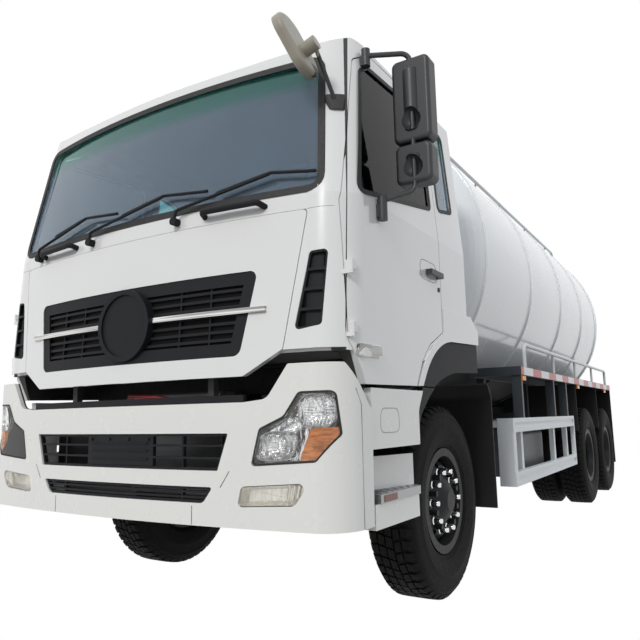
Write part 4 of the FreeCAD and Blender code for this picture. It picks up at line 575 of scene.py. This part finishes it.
CARCASS = [
    (0.100, 0.258), (0.105, 0.262), (0.1055, 0.299), (0.121, 0.312), (0.1265, 0.324), (0.1300, 0.326),
    (0.1300, 0.330), (0.1345, 0.343), (0.1410, 0.372), (0.1450, 0.400), (0.1465, 0.412), (0.1465, 0.418),
    (0.1440, 0.424), (0.1420, 0.455), (0.1380, 0.478), (0.1400, 0.481), (0.1390, 0.486), (0.1320, 0.502),
    (0.1200, 0.518), (0.105, 0.5275), (0.060, 0.5290), (0.0, 0.5295),
]
TREAD_ROWS = [
    # (profile of a block as (x, radius), share of the pitch, skew, shift in pitches)
    ([(-0.018, 0.526), (-0.018, 0.5425), (0.018, 0.5425), (0.018, 0.526)], 0.84, 0.010, 0.0),
    ([(0.027, 0.526), (0.027, 0.5425), (0.062, 0.5423), (0.062, 0.526)], 0.80, -0.010, 0.5),
    ([(0.071, 0.524), (0.071, 0.5422), (0.103, 0.5405), (0.128, 0.513), (0.120, 0.507), (0.100, 0.520)],
     0.66, 0.006, 0.0),
]
TREAD_PITCHES = 50


def tyre_mesh():
    piece = Piece()
    whole = CARCASS + [(-a, r) for a, r in reversed(CARCASS[:-1])]
    piece.lathe(whole, (0, 0, 0), "x", 96)
    pitch = 2 * math.pi / TREAD_PITCHES
    for profile, share, skew, shift in TREAD_ROWS:
        for side in ((1,) if profile[0][0] < 0 else (1, -1)):
            for k in range(TREAD_PITCHES):
                a0 = (k + shift + (0.5 if side < 0 else 0)) * pitch
                rings = []
                for a in (a0, a0 + pitch * share):
                    ring = []
                    for x, r in profile:
                        t = a + skew * x / 0.02
                        ring.append((x * side, r * math.cos(t), r * math.sin(t)))
                    rings.append(ring if side > 0 else ring[::-1])
                piece.loft(rings)
    for k in range(60):
        t = 2 * math.pi * k / 60
        for side in (1, -1):
            x0, x1 = side * 0.1325, side * 0.1352
            quad = [(x0, 0.494), (x1, 0.494), (side * 0.1250, 0.512), (side * 0.1222, 0.512)]
            rings = [[(x, r * math.cos(t + d), r * math.sin(t + d)) for x, r in quad]
                     for d in (-0.018, 0.018)]
            piece.loft(rings)
    mesh = bpy.data.meshes.new("tyre")
    mesh.from_pydata(piece.v, [], piece.f)
    mesh.validate()
    mesh.materials.append(looks["tyre"])
    mesh.shade_smooth()
    mesh.set_sharp_from_angle(angle=math.radians(34))
    return mesh


NUT_PROFILE = [
    # (distance out from the disc's face, radius)
    (0.012, 0.0235), (0.022, 0.0235), (0.026, 0.0185), (0.060, 0.0175), (0.070, 0.013), (0.072, 0.0),
]


def nut_caps(name, body, side, x_face, y):
    piece = Piece()
    for k in range(NUT_COUNT):
        t = 2 * math.pi * k / NUT_COUNT
        c = (side * x_face, y + NUT_CIRCLE_R * math.cos(t), WHEEL_R + NUT_CIRCLE_R * math.sin(t))
        piece.lathe([(side * a, r) for a, r in NUT_PROFILE], c, "x", 14)
    piece.make(name, "chrome", body, "bright_trim", smooth=True)


def wheels():
    mesh = tyre_mesh()
    for name, side in (("left", 1), ("right", -1)):
        body = "wheel_front_" + name
        hub = (side * FRONT_WHEEL_X, FRONT_AXLE_Y, WHEEL_R)
        o = place(mesh, "tyre_front_tread_" + name, body, "tyre", hub)
        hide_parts("tyre_front_" + name)
        nut_caps("nuts_front_" + name, body, side, FRONT_WHEEL_X + FRONT_FACE, FRONT_AXLE_Y)
        for axle, y in zip(("mid", "rear"), REAR_AXLES_Y):
            body = f"wheel_{axle}_{name}"
            for k, x in enumerate(DUAL_X):
                o = place(mesh, f"tyre_{axle}_tread_{name}_{k}", body, "tyre", (side * x, y, WHEEL_R))
                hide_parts(f"tyres_{axle}_{name}")
            nut_caps(f"nuts_{axle}_{name}", body, side, DUAL_X[0] + DUAL_FACE, y)


# Lamps

# Outlines on the bumper's face, (x, z)
HEAD = [(0.800, 0.828), (1.112, 0.848), (1.206, 0.960), (1.190, 1.146), (1.034, 1.144), (0.962, 1.042),
        (0.842, 0.990)]
FOG = [(0.730, 0.654), (1.010, 0.668), (1.080, 0.764), (0.752, 0.742)]
AMBER = [(1.032, 0.853), (1.110, 0.857), (1.196, 0.962), (1.190, 0.992), (1.088, 0.990)]


def patch(piece, points, depth, back):
    """A filled outline that follows the bumper's curve at a depth, with a rim back to a greater depth."""
    pts = finer(points, 0.03)
    cx, cz = sum(p[0] for p in pts) / len(pts), sum(p[1] for p in pts) / len(pts)
    rings = [[(cx + (x - cx) * k, bumper_y(cx + (x - cx) * k) + depth, cz + (z - cz) * k) for x, z in pts]
             for k in (1.0, 0.75, 0.5, 0.25)]
    outer = [(x, bumper_y(x) + back, z) for x, z in pts]
    piece.loft([outer] + rings)


def bowl(piece, x, z, w, h, depth, front, square=0.7, lean=0.0):
    """A hollow reflector of rounded square outline that opens forward."""
    rings = []
    for k in range(8):
        t = math.pi / 2 * k / 7
        s = math.cos(t)
        ring = []
        for i in range(36):
            a = 2 * math.pi * i / 36
            u = w * s * math.copysign(abs(math.cos(a)) ** square, math.cos(a))
            v = h * s * math.copysign(abs(math.sin(a)) ** square, math.sin(a))
            u += lean * v
            ring.append((x + u, bumper_y(x + u) + front + depth * math.sin(t), z + v))
        rings.append(ring[::-1])
    piece.loft(rings, close=False)


def shrink(points, d):
    pts = [Vector(p) for p in points]
    out = []
    n = len(pts)
    for i, p in enumerate(pts):
        d1, d2 = (p - pts[i - 1]).normalized(), (pts[(i + 1) % n] - p).normalized()
        n1, n2 = Vector((-d1.y, d1.x)), Vector((-d2.y, d2.x))
        m = (n1 + n2).normalized()
        out.append(tuple(p + m * d / max(m.dot(n1), 0.5)))
    return out


def lamps():
    made = []
    head, fog = rounded(HEAD, 0.03), rounded(FOG, 0.02)
    lens = Piece()
    patch(lens, shrink(head, 0.008), 0.002, 0.006)
    patch(lens, shrink(fog, 0.003), 0.004, 0.008)
    lens.both()
    made.append(lens.make("lamp_lenses", "lamp_clear", "chassis", "lamp_clear", smooth=True))
    rim = Piece()
    ribbon(rim, finer(shrink(head, 0.0035), 0.03), 0.007, on_bumper, thick=0.001)
    for d0, d1, y0, y1 in ((0.001, 0.010, 0.003, 0.012), (0.010, 0.012, 0.012, 0.080)):
        rim.loft([[(x, bumper_y(x) + y0, z) for x, z in shrink(head, d0)],
                  [(x, bumper_y(x) + y1, z) for x, z in shrink(head, d1)]], close=False)
    rim.both()
    made.append(rim.make("lamp_housings", "seal", "chassis", "black_plastic", smooth=True))
    glow = Piece()
    tray = [(x, bumper_y(x) + 0.075, z) for x, z in shrink(head, 0.016)]
    glow.loft([[(x, bumper_y(x) + 0.018, z) for x, z in shrink(head, 0.010)], tray], close=False)
    glow.add(tray, [tuple(range(len(tray)))])
    bowl(glow, 1.104, 1.060, 0.078, 0.072, 0.055, 0.016)
    bowl(glow, 0.920, 0.914, 0.094, 0.062, 0.058, 0.014, 0.62, 0.30)
    bowl(glow, 0.990, 1.000, 0.052, 0.040, 0.040, 0.024, 0.8, 0.6)
    for x, z, r in ((1.108, 1.066, 0.018), (0.925, 0.918, 0.022)):
        bulb = [(0.070, r * 0.7), (0.036, r), (0.028, r * 0.7), (0.026, 0)]
        glow.lathe(bulb, (x, bumper_y(x), z), "y", 18)
    for k in range(9):
        x = 1.044 + 0.014 * k
        glow.tube([(x, bumper_y(x) + 0.026, 1.004), (x + 0.004, bumper_y(x) + 0.034, 1.034)], 0.0035, 6)
    # Painted shade: dark grey rings along the reflector bowls' rims stand for the shade between the bowls;
    # the cross lines inside the bowls are the lenses' cut lines.
    lines = Piece()
    for x, z, w, h, square, lean in ((1.104, 1.060, 0.078, 0.072, 0.7, 0.0),
                                     (0.920, 0.914, 0.094, 0.062, 0.62, 0.30)):
        pts = []
        for i in range(37):
            a = 2 * math.pi * i / 36
            v = h * math.copysign(abs(math.sin(a)) ** square, math.sin(a))
            u = w * math.copysign(abs(math.cos(a)) ** square, math.cos(a)) + lean * v
            pts.append((x + u, bumper_y(x + u) + 0.014, z + v))
        lines.tube(pts, 0.0028, 6)
    for k in range(6):
        z = 1.022 + 0.011 * k
        lines.tube([(1.044, bumper_y(1.044) + 0.038, z), (1.104, bumper_y(1.104) + 0.056, z - 0.004),
                    (1.165, bumper_y(1.165) + 0.040, z)], 0.0011, 5)
        z = 0.868 + 0.012 * k
        lines.tube([(0.850, bumper_y(0.850) + 0.034, z), (0.905, bumper_y(0.905) + 0.056, z + 0.002),
                    (0.975, bumper_y(0.975) + 0.040, z + 0.006)], 0.0011, 5)
    lines.both()
    made.append(lines.make("lamp_lines", "seam_grey", "chassis", "black_plastic", smooth=True))
    glow.both()
    made.append(glow.make("lamp_reflectors", "fluted_chrome", "chassis", "bright_trim", smooth=True))
    fog_cup = Piece()
    fog_back = [(x, bumper_y(x) + 0.050, z) for x, z in shrink(fog, 0.020)]
    fog_cup.loft([[(x, bumper_y(x) + 0.006, z) for x, z in shrink(fog, 0.003)], fog_back], close=False)
    fog_cup.add(fog_back, [tuple(range(len(fog_back)))])
    for k in range(4):
        x = 0.972 + 0.022 * k
        y = bumper_y(x) + 0.014
        fog_cup.tube([(x, y, 0.680 + 0.011 * k), (x + 0.014, y, 0.754)], 0.007, 8)
    fog_cup.both()
    made.append(fog_cup.make("lamp_fog_cups", "fog_cream", "chassis", "bright_trim", smooth=True))
    amber = Piece()
    patch(amber, rounded(AMBER, 0.01), 0.008, 0.035)
    amber.both()
    made.append(amber.make("lamp_indicators", "amber_ribbed", "chassis", "lamp_clear", smooth=True))
    tail = Piece()
    for x0, x1 in ((0.70, 0.84), (0.845, 0.95)):
        tail.box(x0, x1, 8.1603, 8.2197, 0.90, 1.0)
    tail.both()
    made.append(tail.make("lamp_tails", "red_lens", "chassis", "lamp_clear"))
    flash = Piece()
    flash.box(0.955, 1.09, 8.1603, 8.2197, 0.90, 1.0)
    flash.both()
    made.append(flash.make("lamp_tail_flashers", "amber", "chassis", "lamp_clear"))
    for o in made:
        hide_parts("lamps")

    marks = Piece()
    for y in (3.02, 5.36, 7.30):
        marks.box(1.232, 1.246, y - 0.045, y + 0.045, 1.296, 1.332)
    marks.both()
    marks.make("side_markers", "amber", "chassis", "lamp_clear")
    for name, side in (("left", 1), ("right", -1)):
        corners = [(0.235, 1.292), (0.445, 1.298), (0.450, 1.354), (0.240, 1.350)]
        pts = finer(rounded(corners, 0.018), 0.02)
        rings = [[(side * (side_x(1.32, y) + lift), 0.342 + (y - 0.342) * k, 1.323 + (z - 1.323) * k)
                  for y, z in pts] for lift, k in ((0.005, 1.0), (0.016, 0.95), (0.021, 0.8))]
        case = Piece()
        case.loft(rings if side > 0 else [r[::-1] for r in rings])
        case.make("door_marker_" + name, "lamp_clear", "door_" + name, "lamp_clear", smooth=True)
        rings = [[(side * (side_x(1.32, y) + lift), y, z) for y, z in pts] for lift in (-0.004, 0.0048)]
        base = Piece()
        base.loft(rings if side > 0 else [r[::-1] for r in rings])
        base.make("door_marker_back_" + name, "marker_base", "door_" + name, "bright_trim")


# Seals, seams and small fittings

SCREEN = [(-1.105, 2.075), (1.105, 2.075), (1.045, 2.790), (-1.045, 2.790)]
DOOR_PANE = [(0.300, 2.062), (1.192, 2.222), (1.192, 2.838), (0.520, 2.800), (0.436, 2.740)]
QUARTER_PANE = [(1.322, 2.248), (1.560, 2.296), (1.545, 2.800), (1.322, 2.835)]


def seals():
    piece = Piece()
    ribbon(piece, finer(rounded(SCREEN, 0.07), 0.06), 0.034, on_nose, thick=0.005)
    piece.make("screen_seal", "seal", "cab", "black_plastic", smooth=True)
    piece = Piece()
    ribbon(piece, finer(rounded(QUARTER_PANE, 0.04), 0.06), 0.022, on_side, thick=0.003)
    piece.both()
    piece.make("quarter_seals", "seal", "cab", "black_plastic", smooth=True)
    for name, side in (("left", 1), ("right", -1)):
        piece = Piece()
        ribbon(piece, finer(rounded(DOOR_PANE, 0.04), 0.06), 0.024, on_side, thick=0.003)
        cup = rounded([(0.972, 1.775), (1.205, 1.775), (1.205, 1.885), (0.972, 1.885)], 0.05)
        ribbon(piece, cup, 0.0022, on_side, thick=0.0008)
        piece.lathe([(0.0, 0.014), (0.004, 0.014), (0.005, 0.0)], (1.2402, 1.232, 1.746), "x", 18)
        if side < 0:
            piece.v = [(-x, y, z) for x, y, z in piece.v]
            piece.f = [f[::-1] for f in piece.f]
        piece.make("door_seal_" + name, "seal", "door_" + name, "black_plastic", smooth=True)


def bumper_seams():
    piece = Piece()
    for path in ([(0.486, 0.568), (0.486, 0.650)], [(0.690, 0.806), (0.642, 0.734)]):
        pts = [tuple(Vector(path[0]).lerp(Vector(path[1]), k / 4)) for k in range(5)]
        ribbon(piece, pts, 0.003, on_bumper, closed=False, thick=0.0007)
    piece.tube([(1.2443, 0.245, 0.568), (1.2443, 0.245, 1.085), (1.2380, 0.210, 1.155)], 0.0013, 6)
    piece.both()
    piece.make("bumper_seams", "seal", "chassis", "black_plastic")
    hatch = Piece()
    pts = finer(rounded([(0.430, 0.958), (0.642, 0.958), (0.632, 1.070), (0.446, 1.070)], 0.045), 0.02)
    ribbon(hatch, pts, 0.004, lambda u, v, lift: (1.2371 + lift, u, v), thick=0.0006)
    hatch.both()
    hatch.make("step_hatches", "seam_grey", "chassis", "bumper_white")
    grip = Piece()
    for k in range(15):
        y = 0.392 + 0.029 * k
        x0, x1 = 1.108 + 0.24 * (y - 0.381), 1.250
        for j in range(3):
            a, b = x0 + (x1 - x0) * j / 3, x0 + (x1 - x0) * (j + 0.8) / 3
            lift = 0.012 * (-1) ** (j + k)
            grip.tube([(a, y - lift / 2, 0.6925), (b, y + lift / 2, 0.6925)], 0.0022, 6)
    grip.both()
    grip.make("step_grips", "tread_alu", "chassis", "tread_alu")
    back = Piece()
    back.box(1.2561, 1.2585, 0.415, 0.545, 0.657, 0.687)
    back.both()
    back.make("step_reflectors", "reflex_brown", "chassis", "lamp_clear")
    plate = Piece()
    for x in (-0.205, -0.07, 0.07, 0.205):
        plate.lathe([(0.0, 0.0), (0.001, 0.007), (0.008, 0.008)], (x, 0.003, 0.945), "y", 12)
    for z in (0.850, 0.890, 0.925):
        plate.box(-0.20, 0.20, 0.006, 0.012, z - 0.003, z + 0.003)
    plate.make("plate_bolts", "black_plastic", "chassis", "black_plastic", smooth=True)
    cores = Piece()
    for k in range(90):
        x = -0.32 + 0.64 * k / 89
        cores.box(x - 0.0012, x + 0.0012, 0.389, 0.400, 0.65, 1.17)
    cores.make("radiator_fins", "tread_alu", "chassis", "tread_alu")
    shield = Piece()
    shield.box(-1.02, 1.02, 0.700, 0.712, 1.165, 1.317)
    shield.box(-1.02, 1.02, 0.560, 0.700, 1.305, 1.317)
    shield.make("floor_shield", "seal", "cab", "black_plastic")
    baffle = Piece()
    baffle.box(0.336, 1.05, 0.430, 0.436, 0.600, 1.060)
    baffle.both()
    baffle.make("radiator_baffles", "seal", "chassis", "black_plastic")
    hose = Piece()
    hose.tube([(-0.30, 0.30, 1.07), (-0.10, 0.16, 1.16), (0.12, 0.13, 1.15), (0.34, 0.30, 1.10)], 0.012, 10)
    hose.make("front_hose", "valve_red", "chassis", "valve_red", smooth=True)


def tapes():
    piece = Piece()
    piece.box(1.2351, 1.2360, 2.975, 7.855, 1.343, 1.407)
    piece.both()
    piece.make("side_tape", "tape", "chassis", "valve_red")


def mirrors():
    for name, side in (("left", 1), ("right", -1)):
        glasses = Piece()
        for half, z0, z1 in ((0.083, 2.378, 2.786), (0.078, 2.163, 2.336)):
            pts = rounded([(1.4 - half, z0), (1.4 + half, z0), (1.4 + half, z1), (1.4 - half, z1)], 0.02)
            glasses.loft([[(side * x, 0.6447, z) for x, z in pts], [(side * x, 0.6465, z) for x, z in pts]])
        glasses.make("mirror_glass_" + name, "mirror_glass", "door_" + name, "bright_trim")


def seen_rays(nodes, links):
    """1 for the rays of the camera and for those it sends on through glass or off metal."""
    ray = nodes.new("ShaderNodeLightPath")
    bounced = calc(nodes, links, "MAXIMUM", ray.outputs["Is Glossy Ray"], ray.outputs["Is Transmission Ray"])
    return calc(nodes, links, "MAXIMUM", ray.outputs["Is Camera Ray"], bounced)


def stage():
    floor = bpy.data.meshes.new("floor")
    s = FLOOR_HALF
    floor.from_pydata([(-s, -s, 0), (s, -s, 0), (s, s, 0), (-s, s, 0)], [], [(0, 1, 2, 3)])
    mat = bpy.data.materials.new("floor")
    mat.use_nodes = True
    nodes, links = mat.node_tree.nodes, mat.node_tree.links
    nodes.clear()
    out = nodes.new("ShaderNodeOutputMaterial")
    mix = nodes.new("ShaderNodeMixShader")
    ground = nodes.new("ShaderNodeBsdfDiffuse")
    ground.inputs["Color"].default_value = (0.28, 0.27, 0.255, 1)
    white = nodes.new("ShaderNodeEmission")
    white.inputs["Color"].default_value = (1, 1, 1, 1)
    links.new(seen_rays(nodes, links), mix.inputs[0])
    links.new(ground.outputs[0], mix.inputs[1])
    links.new(white.outputs[0], mix.inputs[2])
    links.new(mix.outputs[0], out.inputs["Surface"])
    floor.materials.append(mat)
    o = bpy.data.objects.new("floor", floor)
    bpy.context.scene.collection.objects.link(o)


def world():
    w = bpy.data.worlds.new("yard")
    bpy.context.scene.world = w
    w.use_nodes = True
    nodes, links = w.node_tree.nodes, w.node_tree.links
    nodes.clear()
    out = nodes.new("ShaderNodeOutputWorld")
    coords = nodes.new("ShaderNodeTexCoord")
    split = nodes.new("ShaderNodeSeparateXYZ")
    links.new(coords.outputs["Generated"], split.inputs[0])
    ramp = nodes.new("ShaderNodeValToRGB")
    links.new(remap(nodes, links, split.outputs["Z"], -1.0, 1.0, 0.0, 1.0), ramp.inputs["Fac"])
    stops = [(0.0, (0.20, 0.18, 0.15)), (0.49, (0.34, 0.30, 0.25)), (0.505, (0.42, 0.40, 0.37)),
             (0.56, (0.55, 0.56, 0.57)), (0.62, (0.86, 0.90, 0.95)), (1.0, (0.80, 0.88, 1.0))]
    ramp.color_ramp.elements[0].position = stops[0][0]
    ramp.color_ramp.elements[0].color = (*stops[0][1], 1)
    ramp.color_ramp.elements[1].position = stops[-1][0]
    ramp.color_ramp.elements[1].color = (*stops[-1][1], 1)
    for at, color in stops[1:-1]:
        e = ramp.color_ramp.elements.new(at)
        e.color = (*color, 1)
    sky = nodes.new("ShaderNodeBackground")
    links.new(ramp.outputs["Color"], sky.inputs["Color"])
    sky.inputs["Strength"].default_value = SKY_STRENGTH
    white = nodes.new("ShaderNodeBackground")
    white.inputs["Color"].default_value = (1, 1, 1, 1)
    mix = nodes.new("ShaderNodeMixShader")
    links.new(seen_rays(nodes, links), mix.inputs[0])
    links.new(sky.outputs[0], mix.inputs[1])
    links.new(white.outputs[0], mix.inputs[2])
    links.new(mix.outputs[0], out.inputs["Surface"])


def light():
    sun = bpy.data.lights.new("sun", "SUN")
    sun.energy = SUN_STRENGTH
    sun.angle = math.radians(12)
    sun.color = (1.0, 0.97, 0.92)
    o = bpy.data.objects.new("sun", sun)
    o.rotation_mode = "QUATERNION"
    o.rotation_quaternion = Vector(SUN_WAY).to_track_quat("-Z", "Y")
    bpy.context.scene.collection.objects.link(o)


def camera():
    yaw, pitch, roll = (math.radians(a) for a in (CAMERA_YAW, CAMERA_PITCH, CAMERA_ROLL))
    ahead = Vector((-math.sin(yaw) * math.cos(pitch), math.cos(yaw) * math.cos(pitch), math.sin(pitch)))
    right = Vector((math.cos(yaw), math.sin(yaw), 0))
    up = right.cross(ahead)
    r = right * math.cos(roll) + up * math.sin(roll)
    u = -right * math.sin(roll) + up * math.cos(roll)
    cam = bpy.data.cameras.new("camera")
    cam.lens = CAMERA_LENS
    cam.sensor_width = 36
    cam.clip_end = 200
    o = bpy.data.objects.new("camera", cam)
    turn = Matrix((r, u, -ahead)).transposed()
    o.matrix_world = Matrix.Translation((CAMERA_AT[0], CAMERA_AT[1] - SHIFT, CAMERA_AT[2])) @ turn.to_4x4()
    bpy.context.scene.collection.objects.link(o)
    bpy.context.scene.camera = o


wheels()
lamps()
seals()
bumper_seams()
tapes()
mirrors()
stage()
world()
light()
camera()
bpy.context.scene.view_settings.view_transform = "Standard"
